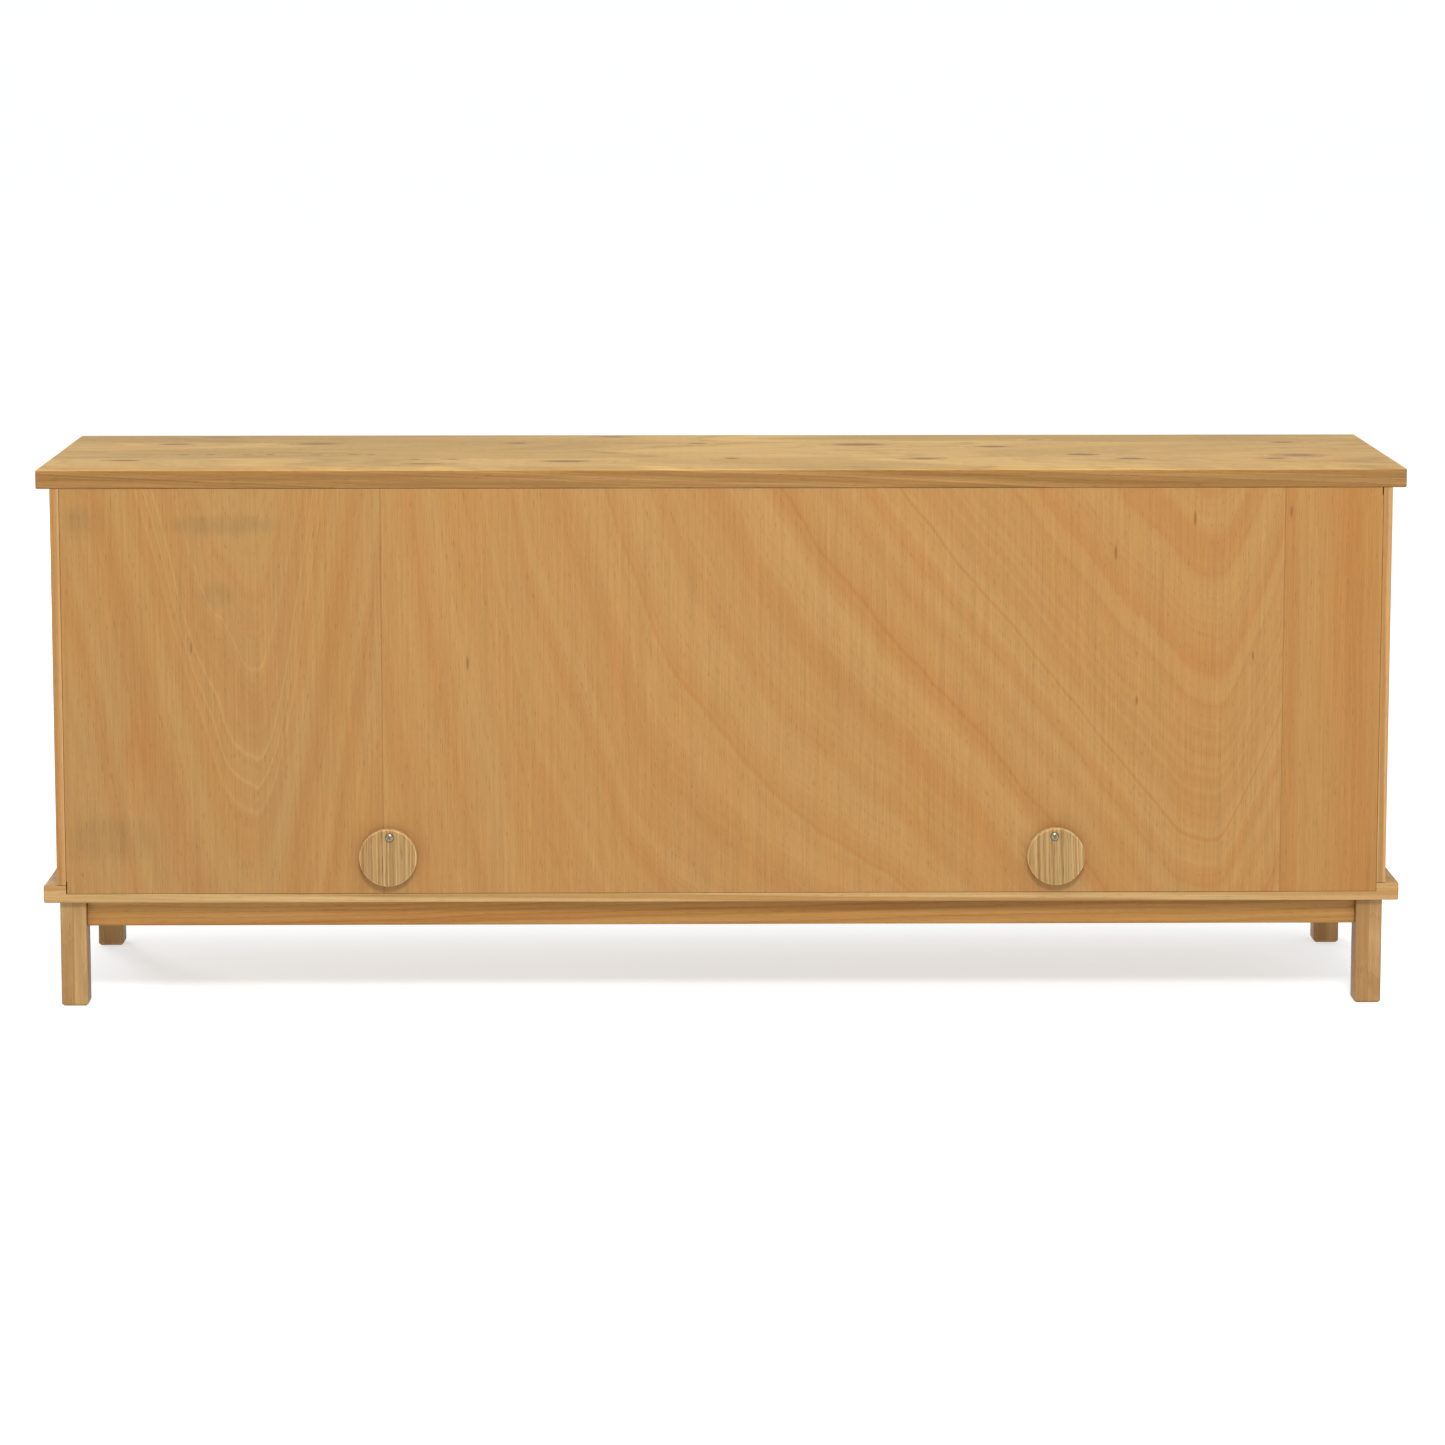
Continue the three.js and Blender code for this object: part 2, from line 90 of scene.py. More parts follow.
CREASE = math.radians(35)
FRAME_WIDTH_MM = 36.0
WHITE = (1.0, 1.0, 1.0, 1.0)
HALVES = (("left", -1), ("right", 1))
DOORS = ("left_outer_door", "left_inner_door", "right_inner_door", "right_outer_door")


# ---- Sizes and colours ----


def tone(red, green, blue):
    """Display values from 0 to 255 as the colour that a shader takes."""
    return tuple(((value / 255 + 0.055) / 1.055) ** 2.4 for value in (red, green, blue))


def colour(name, description, red, green, blue):
    return FloatVectorProperty(
        name=name, description=description, default=tone(red, green, blue), size=3, min=0.0, max=1.0,
        subtype="COLOR",
    )


def length(name, description, default):
    return FloatProperty(
        name=name, description=description, default=default, min=0.0, precision=4,
        subtype="DISTANCE", unit="LENGTH",
    )


def angle(name, description, degrees):
    return FloatProperty(
        name=name, description=description, default=math.radians(degrees), subtype="ANGLE",
        unit="ROTATION",
    )


def standing(name, description, place):
    return FloatVectorProperty(
        name=name, description=description, default=place, subtype="TRANSLATION", unit="LENGTH",
    )


def power(name, description, default):
    return FloatProperty(
        name=name, description=description, default=default, min=0.0, subtype="POWER", unit="POWER",
    )


def strength(name, description, default):
    return FloatProperty(name=name, description=description, default=default, min=0.0)


class CabinetStage(bpy.types.PropertyGroup):
    camera_place: standing(
        "Camera place", "Where the camera stands, behind the cabinet", (0.059, 5.637, 1.339),
    )
    camera_pitch: angle("Camera pitch", "How far the camera looks down", 7.007)
    camera_turn: angle("Camera turn", "How far it turns from looking straight at the back", -0.626)
    lens: FloatProperty(
        name="Lens", description="Focal length on a 36 mm wide sensor, in millimetres",
        default=103.774, min=1.0,
    )
    shift: FloatVectorProperty(
        name="Lens shift", description="Sideways and upward shift, as a share of the frame",
        default=(0.0, -0.15), size=2,
    )
    floor_reach: length("Floor reach", "From the cabinet to the outermost strip of floor", 40.0)
    floor_edge: length("Floor edge", "How far the outermost strip of floor runs on", 1600.0)
    floor_colour: colour("Floor", "Pale matt floor", 190, 196, 201)
    floor_glow: strength("Floor glow", "Light from within the floor, as on a lit table", 0.54)
    sky_strength: strength("Even light", "Strength of the light from all round", 0.86)
    overhead_power: power("Overhead light", "Power of the broad light above the cabinet", 80.0)
    overhead_height: length("Overhead height", "Height of the broad light", 3.2)
    overhead_width: length("Overhead width", "Width of the broad light", 3.4)
    key_power: power("Key light", "Power of the soft light high behind the camera", 300.0)
    key_place: standing("Key light place", "Where the key light stands", (-0.4, 5.2, 4.5))
    key_width: length("Key light width", "Width of the key light and the front fill", 1.6)
    fill_power: power("Front fill", "Power of the soft light before the doors", 160.0)
    fill_place: standing("Front fill place", "Where the front fill stands", (3.2, -4.4, 0.9))


class CabinetFinish(bpy.types.PropertyGroup):
    top_pale: colour("Top, pale", "Open grain of the top board", 143, 106, 61)
    top_dark: colour("Top, dark", "Close grain of the top board", 129, 93, 48)
    bottom_pale: colour("Bottom, pale", "Open grain of the bottom board and shelves", 170, 138, 91)
    bottom_dark: colour("Bottom, dark", "Close grain of the bottom board and shelves", 152, 116, 69)
    side_pale: colour("Side, pale", "Open grain of the sides and partition", 172, 133, 85)
    side_dark: colour("Side, dark", "Close grain of the sides and partition", 150, 110, 63)
    back_pale: colour("Back, pale", "Open grain of the back's veneer", 150, 113, 66)
    back_dark: colour("Back, dark", "Close grain of the back's veneer", 147, 105, 59)
    leg_pale: colour("Leg, pale", "Open grain of the legs", 165, 131, 85)
    leg_dark: colour("Leg, dark", "Close grain of the legs", 144, 107, 64)
    rail_pale: colour("Rail, pale", "Open grain of the rails", 166, 123, 68)
    rail_dark: colour("Rail, dark", "Close grain of the rails", 144, 99, 48)
    door_pale: colour("Door, pale", "Open grain of the doors", 184, 142, 90)
    door_dark: colour("Door, dark", "Close grain of the doors", 159, 116, 67)
    turned_pale: colour("Turned oak, pale", "Open grain of the cable covers", 162, 133, 88)
    turned_dark: colour("Turned oak, dark", "Close grain of the cable covers", 135, 102, 61)
    knot_brown: colour("Knot", "Heart of the knots and pin streaks", 96, 66, 40)
    brass_tone: colour("Brass", "Hinge leaves and their screws", 201, 168, 98)
    steel_tone: colour("Steel", "Shelf pins, strike plates and knob screws", 206, 200, 188)
    screw_tone: colour("Cover screw", "Dulled plating of the cover screws", 148, 136, 110)
    catch_brown: colour("Catch", "Moulded body of the catches", 88, 66, 50)


class CabinetSizes(bpy.types.PropertyGroup):
    board_ease: length("Board ease", "Radius of the boards' edges", 0.002)
    leg_ease: length("Leg ease", "Radius of the legs' edges", 0.002)
    foot_ease: length("Foot ease", "Chamfer round the foot of a leg", 0.0028)
    rail_ease: length("Rail ease", "Radius of the rails' edges", 0.001)
    leg_strip: length("Leg strip", "Width of one of the two strips glued up in a leg", 0.0175)
    board_plank: length("Board plank", "Width of a plank in the top and bottom boards", 0.0975)
    side_plank: length("Side plank", "Width of a plank in the sides and partition", 0.104)
    cover_ease: length("Cover ease", "Radius of a cable-hole cover's rim", 0.0016)
    screw_hole: length("Screw hole", "Radius of the hole through a cover", 0.0025)
    screw_head: length("Screw head", "Height of a cover screw's head", 0.003)
    screw_shank: length("Screw shank", "Radius of a cover screw under its head", 0.002)
    recess_width: length("Recess width", "Width of each arm of a screw's cross recess", 0.0016)
    recess_depth: length("Recess depth", "Depth of a screw's cross recess", 0.0017)
    hinge_screw: length("Hinge screw", "Radius of a hinge screw's head", 0.0032)
    hinge_screw_rise: length("Hinge screw rise", "How proud a hinge screw stands", 0.0002)
    cable_hole: length("Cable hole", "Radius of a cable hole", 0.025)
    stile: length("Stile", "Width of a door's stiles and rails", 0.06)
    hinge_gap: length("Hinge gap", "Between a door and what it hangs on", 0.003)
    leaf_thickness: length("Leaf thickness", "Thickness of a hinge leaf", 0.00125)
    hinge_play: length("Hinge play", "Between the knuckles of a hinge", 0.0005)
    strike_width: length("Strike width", "Width of a catch's strike plate", 0.018)
    strike_height: length("Strike height", "Height of a catch's strike plate", 0.013)
    strike_thickness: length("Strike thickness", "Thickness of a strike plate", 0.0011)
    strike_ease: length("Strike ease", "Radius of a strike plate's edges", 0.0003)
    catch_ease: length("Catch ease", "Radius of a catch's edges", 0.0015)
    knob_screw: length("Knob screw", "Radius of a knob screw's head inside the door", 0.0045)


# ---- Finishes ----


class Finish:
    """A material whose nodes are added one call at a time."""

    def __init__(self, name, roughness, metallic=0.0):
        self.material = bpy.data.materials.new(name)
        self.material.use_nodes = True
        self.nodes = self.material.node_tree.nodes
        self.links = self.material.node_tree.links
        self.shader = self.nodes["Principled BSDF"]
        self.put(self.shader.inputs["Roughness"], roughness)
        self.put(self.shader.inputs["Metallic"], metallic)
        self.place = self.nodes.new("ShaderNodeTexCoord").outputs["Object"]
        self.axes = {axis: self.node("SeparateXYZ", (self.place,), axis.upper()) for axis in "xyz"}

    def put(self, socket, value):
        if isinstance(value, bpy.types.NodeSocket):
            self.links.new(value, socket)
        elif socket.type == "RGBA":
            socket.default_value = (*tuple(value)[:3], 1.0)
        else:
            socket.default_value = value

    def node(self, kind, values, output=0, **settings):
        """Adds a node with its settings and its inputs, and gives one of its outputs."""
        node = self.nodes.new(f"ShaderNode{kind}")
        for name, value in settings.items():
            setattr(node, name, value)
        for key, value in values.items() if isinstance(values, dict) else enumerate(values):
            self.put(node.inputs[key], value)
        return node.outputs[output]

    def math(self, operation, *values):
        return self.node("Math", values, operation=operation)

    def vector(self, x, y, z):
        return self.node("CombineXYZ", (x, y, z))

    def vector_math(self, operation, *values):
        output = "Value" if operation == "LENGTH" else "Vector"
        return self.node("VectorMath", values, output, operation=operation)

    def stretched(self, place, along, across, deep):
        return self.vector_math("MULTIPLY", place, (along, across, deep))

    def noise(self, place, detail=2.0, roughness=0.5, scale=1.0, socket="Vector"):
        values = {socket: place, "Scale": scale, "Detail": detail, "Roughness": roughness}
        return self.node("TexNoise", values, noise_dimensions="1D" if socket == "W" else "3D")

    def bands(self, measure, scale, detail=3.0, roughness=0.55):
        """Noise along one measure only, so that it makes bands."""
        return self.noise(measure, detail, roughness, scale, "W")

    def chance(self, number):
        """Three random shares that stay the same for the same number."""
        chance = self.node("TexWhiteNoise", {"W": number}, "Color", noise_dimensions="1D")
        return [self.node("SeparateColor", (chance,), channel) for channel in range(3)]

    def spread(self, value, low, high, start=0.0, end=1.0, smooth=True):
        kind = "SMOOTHSTEP" if smooth else "LINEAR"
        return self.node("MapRange", (value, low, high, start, end), interpolation_type=kind)

    def mix(self, share, first, second, blend="MIX"):
        values = {0: share, 6: first, 7: second}
        return self.node("Mix", values, 2, data_type="RGBA", blend_type=blend)

    def blend(self, share, first, second):
        return self.node("Mix", {0: share, 2: first, 3: second}, data_type="FLOAT")

    def off(self, value, mark):
        """How far a value is from a mark."""
        return self.math("ABSOLUTE", self.math("SUBTRACT", value, mark))

    def rim(self, value, edge, start, end):
        """Rises from 0 to 1 between two distances inside an edge."""
        return self.spread(value, edge - start, edge - end)

    def nearest(self, place, spots):
        """How near a point is to the closest spot: 0 in its middle and 1 at its rim."""
        closest = None
        for middle, half in spots:
            scale = [1 / size if size else 0.0 for size in half]
            offset = [-at * factor for at, factor in zip(middle, scale)]
            shifted = self.vector_math("MULTIPLY_ADD", place, scale, offset)
            distance = self.vector_math("LENGTH", shifted)
            closest = distance if closest is None else self.math("MINIMUM", closest, distance)
        return closest

    def finish(self, base, roughness, height, relief, strength=0.5):
        self.put(self.shader.inputs["Base Color"], base)
        self.put(self.shader.inputs["Roughness"], roughness)
        bump = self.node("Bump", {"Strength": strength, "Distance": relief, "Height": height})
        self.put(self.shader.inputs["Normal"], bump)
        return self.material


# Tints that multiply the oak's colour where it shows each of these.
CLOSE_RING_TINT = (0.72, 0.62, 0.5)
PORE_TINT = (0.36, 0.25, 0.16)
COOL_TINT = (0.9, 0.93, 0.95)
WARM_TINT = (1.0, 0.86, 0.72)
KNOT_HALO_TINT = (0.74, 0.6, 0.45)

PLANED_ROUGHNESS = 0.46
PORE_ROUGHNESS = 0.62
OAK_GLOSS = 0.12
GRAIN_RELIEF = 0.00022
GRAIN_STRENGTH = 0.45


class Oak(Finish):
    """Oak with its grain along the first axis named, and rings round a heart line beside it."""

    def __init__(self, name, grain, pale, dark):
        super().__init__(name, PLANED_ROUGHNESS)
        self.pale = pale
        self.dark = dark
        self.along, self.across, self.deep = (self.axes[axis] for axis in grain)
        self.tint = 0.5
        self.knots = None
        self.put(self.shader.inputs["Specular IOR Level"], OAK_GLOSS)

    def place_in_wood(self):
        return self.vector(self.along, self.across, self.deep)

    def glaze(self, share, tint):
        """Multiplies the wood's colour by a tint, as far as the share goes."""
        self.body = self.mix(share, self.body, tint, blend="MULTIPLY")

    def shade(self, value, low, high, start, end):
        """Lightens or darkens the wood as a value goes from low to high."""
        light = self.spread(value, low, high, start, end, smooth=False)
        self.glaze(1.0, self.vector(light, light, light))

    def turn_rails(self, is_rail, along, across):
        """Where is_rail is 1, the grain runs the other way."""
        self.along, self.across = (
            self.blend(is_rail, self.along, self.axes[along]),
            self.blend(is_rail, self.across, self.axes[across]),
        )

    def mirror_halves(self, shift):
        """Both halves of the cabinet are sawn alike, from different lengths of the same planks."""
        self.across = self.math("ABSOLUTE", self.axes["x"])
        self.along = self.math("MULTIPLY_ADD", self.math("SIGN", self.axes["x"]), shift, self.along)

    def wander(self, sweep, ripple):
        """Lets the grain wander from a straight line."""
        place = self.place_in_wood()
        broad = self.noise(self.stretched(place, 1.6, 7.0, 7.0), detail=2.0)
        close = self.noise(self.stretched(place, 11.0, 75.0, 75.0), detail=2.0)
        broad = self.math("MULTIPLY_ADD", broad, sweep, -sweep / 2)
        close = self.math("MULTIPLY_ADD", close, ripple, -ripple / 2)
        return self.math("ADD", broad, close)

    def planks(self, width, start, slant, seed):
        """Rings of planks glued edge to edge, each from its own log."""
        count = self.math("DIVIDE", self.math("SUBTRACT", self.across, start), width)
        number = self.math("FLOOR", count)
        first, second, third = self.chance(self.math("ADD", number, seed))
        local = self.math("MULTIPLY", self.math("SUBTRACT", self.math("FRACT", count), 0.5), width)
        aside = self.math("MULTIPLY_ADD", self.math("SUBTRACT", first, 0.5), width * 1.3, local)
        depth = self.math("MULTIPLY_ADD", second, 0.05, self.math("ADD", self.deep, 0.02))
        lean = self.math("MULTIPLY", self.math("SUBTRACT", third, 0.5), slant)
        depth = self.math("MULTIPLY_ADD", self.along, lean, depth)
        self.tint = self.chance(self.math("ADD", number, seed + 31.7))[0]
        self.plank_edge = self.math("ABSOLUTE", local)
        rings = self.vector_math("LENGTH", self.vector(aside, depth, 0.0))
        return self.math("MULTIPLY_ADD", first, 0.7, rings)

    def straight(self, aside, depth, slant):
        """Rings far from the heart, which leave nearly straight grain."""
        shifted = self.math("ADD", self.across, aside)
        depth = self.math("ADD", self.math("MULTIPLY", self.along, slant), self.math("ADD", self.deep, depth))
        return self.vector_math("LENGTH", self.vector(shifted, depth, 0.0))

    def leaves(self, top, leaves):
        """Rings of veneer leaves laid side by side, each with its own arched figure."""
        rings = None
        for number, (start, heart, tip, slope, fan, low_side, high_side, shade) in enumerate(leaves):
            from_heart = self.math("SUBTRACT", self.across, heart)
            one = self.math("MULTIPLY", from_heart, -low_side)
            other = self.math("MULTIPLY", from_heart, high_side)
            aside = self.vector_math("LENGTH", self.vector(self.math("MAXIMUM", one, other), tip, 0.0))
            climb = self.spread(aside, *fan, slope, slope * 0.2)
            depth = self.math("SUBTRACT", top, self.along)
            leaf = self.math("MULTIPLY_ADD", depth, climb, self.math("ADD", aside, 2.0 * number))
            if rings is None:
                rings, self.tint = leaf, shade
            else:
                inside = self.math("GREATER_THAN", self.across, start)
                rings = self.blend(inside, rings, leaf)
                self.tint = self.blend(inside, self.tint, shade)
        return rings

    def grow(
        self, rings, sweep=0.016, ripple=0.0022, growth_scale=70.0, ring=0.0042, figure=1.0, pores=1.0,
        streaks=0.2, warmth=0.5, warm=WARM_TINT, lines=(), pore_size=(60.0, 1500.0), knot_depth=0.85,
        figure_thread=0.0,
    ):
        """Turns the rings into the wood's colour, roughness and relief."""
        place = self.place_in_wood()
        rings = self.math("ADD", rings, self.wander(sweep, ripple))
        if self.knots is not None:
            rings = self.math("ADD", rings, self.spread(self.knots, 0.0, 2.6, 0.008, 0.0))
        growth = self.bands(rings, growth_scale, detail=4.0, roughness=0.6)
        phase = self.math("FRACT", self.math("MULTIPLY_ADD", growth, 1.6, self.math("DIVIDE", rings, ring)))
        close_ring = self.math("POWER", phase, 3.5)

        streak = self.noise(self.stretched(place, 3.0, 210.0, 210.0), detail=3.0, roughness=0.62)
        thread = self.noise(self.stretched(place, 14.0, 900.0, 900.0), detail=1.0)
        pore = self.noise(self.stretched(place, pore_size[0], pore_size[1], pore_size[1]), detail=1.0)
        open_ring = self.spread(phase, 0.0, 0.55, 1.0, 0.3)
        pore = self.math("MULTIPLY", self.spread(pore, 0.56, 0.72), open_ring)
        blotch = self.noise(self.stretched(place, 2.2, 9.0, 9.0), detail=3.0, roughness=0.6)

        self.body = self.mix(self.spread(growth, 0.34, 0.68), self.pale, self.dark)
        close_tone = [value * factor for value, factor in zip(self.dark, CLOSE_RING_TINT)]
        self.body = self.mix(self.math("MULTIPLY", close_ring, 0.34 * figure), self.body, close_tone)
        for at, half, tint, share in lines:
            self.glaze(self.spread(self.off(rings, at), half * 0.2, half, share, 0.0), tint)
        self.glaze(self.spread(blotch, 0.4, 0.7, 0.0, warmth), warm)
        self.glaze(self.spread(self.tint, 0.0, 1.0, 0.8, 0.0, smooth=False), COOL_TINT)
        self.shade(streak, 0.28, 0.72, 1.0 - streaks * 0.6, 1.0 + streaks * 0.4)
        if figure_thread:
            follow = self.bands(rings, 320.0, detail=3.0, roughness=0.7)
            self.shade(follow, 0.3, 0.7, 1.0 - figure_thread, 1.0 + figure_thread)
        self.shade(thread, 0.3, 0.7, 0.93, 1.05)
        self.glaze(self.math("MULTIPLY", pore, 0.5 * pores), PORE_TINT)
        if self.knots is not None:
            grained = self.math("MULTIPLY_ADD", self.math("SUBTRACT", streak, 0.5), 0.9, self.knots)
            self.body = self.mix(self.spread(grained, 0.6, 1.1, knot_depth, 0.0), self.body, self.knot_tone)
            self.glaze(self.spread(grained, 0.9, 2.0, knot_depth * 0.3, 0.0), KNOT_HALO_TINT)

        self.rough = self.blend(pore, PLANED_ROUGHNESS, PORE_ROUGHNESS)
        height = self.math("MULTIPLY_ADD", pore, -0.8, self.math("MULTIPLY", streak, 0.45))
        self.height = self.math("MULTIPLY_ADD", close_ring, -0.12, height)

    def close(self, relief=GRAIN_RELIEF, strength=GRAIN_STRENGTH):
        """The material, once the wood has grown and has its glazes."""
        return self.finish(self.body, self.rough, self.height, relief, strength)

    def show_knots(self, spots, knot_tone, wobble=0.012):
        """Knots and pin streaks, each a middle and half sizes along, across and through the wood."""
        shake = self.noise(self.stretched(self.place_in_wood(), 30.0, 160.0, 0.0), detail=2.0)
        aside = self.math("MULTIPLY_ADD", shake, wobble, self.math("SUBTRACT", self.across, wobble / 2))
        self.knots = self.nearest(self.vector(self.along, aside, self.deep), spots)
        self.knot_tone = knot_tone


def oak_material(wood, rings, **details):
    wood.grow(rings, **details)
    return wood.close()


def metal(name, tint, roughness, brush, painted_shade=None):
    """Drawn metal with fine lines along X, a little dullness, and painted shade that darkens it below a span
    of Y and fades out across it.
    """
    surface = Finish(name, roughness, metallic=1.0)
    lines = surface.noise(surface.stretched(surface.place, brush, brush * 9, brush * 9), detail=3.0)
    dull = surface.noise(surface.place, detail=3.0, scale=180.0)
    base = surface.mix(surface.spread(dull, 0.35, 0.7, 0.0, 0.5), tint, [value * 0.78 for value in tint])
    # Painted shade: the metal darkens towards low Y, as if shadowed where it sits down.
    if painted_shade:
        base = surface.mix(surface.spread(surface.axes["y"], *painted_shade, 0.85, 0.0), base, (0.05, 0.04, 0.03))
    rough = surface.spread(lines, 0.3, 0.7, roughness * 0.8, roughness * 1.3)
    return surface.finish(base, rough, lines, relief=0.00004, strength=0.35)


def moulded(name, tint, roughness):
    """Moulded plastic with a fine texture."""
    surface = Finish(name, roughness)
    grain = surface.noise(surface.place, detail=3.0, scale=2400.0)
    cloud = surface.noise(surface.place, detail=2.0, scale=60.0)
    base = surface.mix(surface.spread(cloud, 0.3, 0.7), tint, [value * 0.8 for value in tint])
    rough = surface.spread(grain, 0.3, 0.7, roughness * 0.9, roughness * 1.15)
    return surface.finish(base, rough, grain, relief=0.00005, strength=0.4)


# ---- Making pieces ----


def give(node, material):
    """Finishes a carried-over node."""
    mesh = frame["nodes"][node].data
    mesh.materials.clear()
    mesh.materials.append(material)


def joint(name):
    return next(entry for entry in frame["joints"] if entry["name"] == name)


def opening(name):
    """Middle of a named opening in the record."""
    entry = next(entry for entry in frame["record"]["physics"]["openings"] if entry["name"] == name)
    low, high = (Vector(corner) for corner in entry["box_m"])
    return (low + high) / 2


def facing(place, axis):
    """Moves a form from the origin to a place and turns its +Z along an axis."""
    turn = Vector((0.0, 0.0, 1.0)).rotation_difference(Vector(axis)).to_matrix().to_4x4()
    return Matrix.Translation(Vector(place)) @ turn


def moved(shape, matrix):
    bmesh.ops.transform(shape, matrix=matrix, verts=shape.verts)
    return shape


def in_scene(name, data):
    obj = bpy.data.objects.new(name, data)
    bpy.context.scene.collection.objects.link(obj)
    return obj


def as_mesh(name, shape):
    """Turns a bmesh into a mesh and frees it."""
    mesh = bpy.data.meshes.new(name)
    shape.to_mesh(mesh)
    shape.free()
    return mesh


def piece(name, shape, node, material, instead=True, even=True):
    """A finished object that rides with a node, and stands for it unless instead is False."""
    bmesh.ops.recalc_face_normals(shape, faces=shape.faces)
    mesh = as_mesh(name, shape)
    mesh.materials.append(material)
    mesh.polygons.foreach_set("use_smooth", [True] * len(mesh.polygons))
    mesh.set_sharp_from_angle(angle=CREASE)
    obj = in_scene(name, mesh)
    if even:
        shading = obj.modifiers.new("Flat faces", "WEIGHTED_NORMAL")
        shading.keep_sharp = True
    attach(obj, frame["nodes"][node]["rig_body"])
    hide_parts(*([node] if instead else []))


def box_form(low, high):
    """A plain box between two corners."""
    shape = bmesh.new()
    bmesh.ops.create_cube(shape, size=1.0)
    low, high = Vector(low), Vector(high)
    return moved(shape, Matrix.Translation((low + high) / 2) @ Matrix.Diagonal((*(high - low), 1.0)))


def work_edges(shape, edges, width, steps, clamp=False):
    """Chamfers edges in one step, or rounds them in several."""
    bmesh.ops.bevel(
        shape, geom=edges, offset=width, offset_type="OFFSET", segments=steps, profile=0.5,
        affect="EDGES", clamp_overlap=clamp,
    )


def slab(low, high, ease, steps=3, foot=None):
    """A board between two corners with worked edges. A foot also gets its own chamfer."""
    shape = box_form(low, high)
    if foot:
        sole = low.z + foot / 2
        under = [edge for edge in shape.edges if all(vert.co.z < sole for vert in edge.verts)]
        work_edges(shape, under, foot, 1)
        rest = [edge for edge in shape.edges if edge.calc_face_angle(0.0) > math.radians(60)]
        work_edges(shape, rest, ease, steps, clamp=True)
    else:
        work_edges(shape, list(shape.edges), ease, steps)
    return shape


def circle(radius, flats):
    """Points round a circle about the origin."""
    angles = (2 * math.pi * step / flats for step in range(flats))
    return [(radius * math.cos(angle), radius * math.sin(angle)) for angle in angles]


def turned(outline, middle, axis, flats=64):
    """A turned form: an outline of (radius, height) swept round an axis from its middle."""
    shape = bmesh.new()
    rings = []
    for radius, height in outline:
        ring = circle(radius, flats) if radius > 0.0 else [(0.0, 0.0)]
        rings.append([shape.verts.new((x, y, height)) for x, y in ring])
    for lower, upper in zip(rings, rings[1:]):
        for step in range(flats):
            corners = [ring[at % len(ring)] for ring, at in (
                (lower, step), (lower, step + 1), (upper, step + 1), (upper, step),
            )]
            shape.faces.new(list(dict.fromkeys(corners)))
    return moved(shape, facing(middle, axis))


def joined(*shapes):
    """One bmesh that holds all the shapes."""
    whole = bmesh.new()
    for shape in shapes:
        mesh = as_mesh("part", shape)
        whole.from_mesh(mesh)
        bpy.data.meshes.remove(mesh)
    return whole


def carved(shape, cutter):
    """The shape with the cutter's form taken out of it."""
    made = []
    for form in (shape, cutter):
        bmesh.ops.recalc_face_normals(form, faces=form.faces)
        made.append(in_scene("carving", as_mesh("carving", form)))
    work, tool = made
    change = work.modifiers.new("Carve", "BOOLEAN")
    change.operation = "DIFFERENCE"
    change.solver = "EXACT"
    change.object = tool
    result = work.evaluated_get(bpy.context.evaluated_depsgraph_get())
    carved_shape = bmesh.new()
    carved_shape.from_mesh(result.to_mesh())
    result.to_mesh_clear()
    for obj in made:
        mesh = obj.data
        bpy.data.objects.remove(obj)
        bpy.data.meshes.remove(mesh)
    return carved_shape


def round_rim(radius, low, high, ease, steps=4):
    """The outline of a disc with rounded rims."""
    bends = [math.pi / 2 * step / steps for step in range(steps + 1)]
    inner = radius - ease
    under = [(inner + ease * math.sin(bend), low + ease - ease * math.cos(bend)) for bend in bends]
    over = [(inner + ease * math.cos(bend), high - ease + ease * math.sin(bend)) for bend in bends]
    return [(0.0, low), *under, *over, (0.0, high)]


# ---- The camera, the floor and the light ----

FLOOR_ROUGHNESS = 0.9
FLOOR_CLOUD = 0.985
LIGHT_SHAPE = 0.7


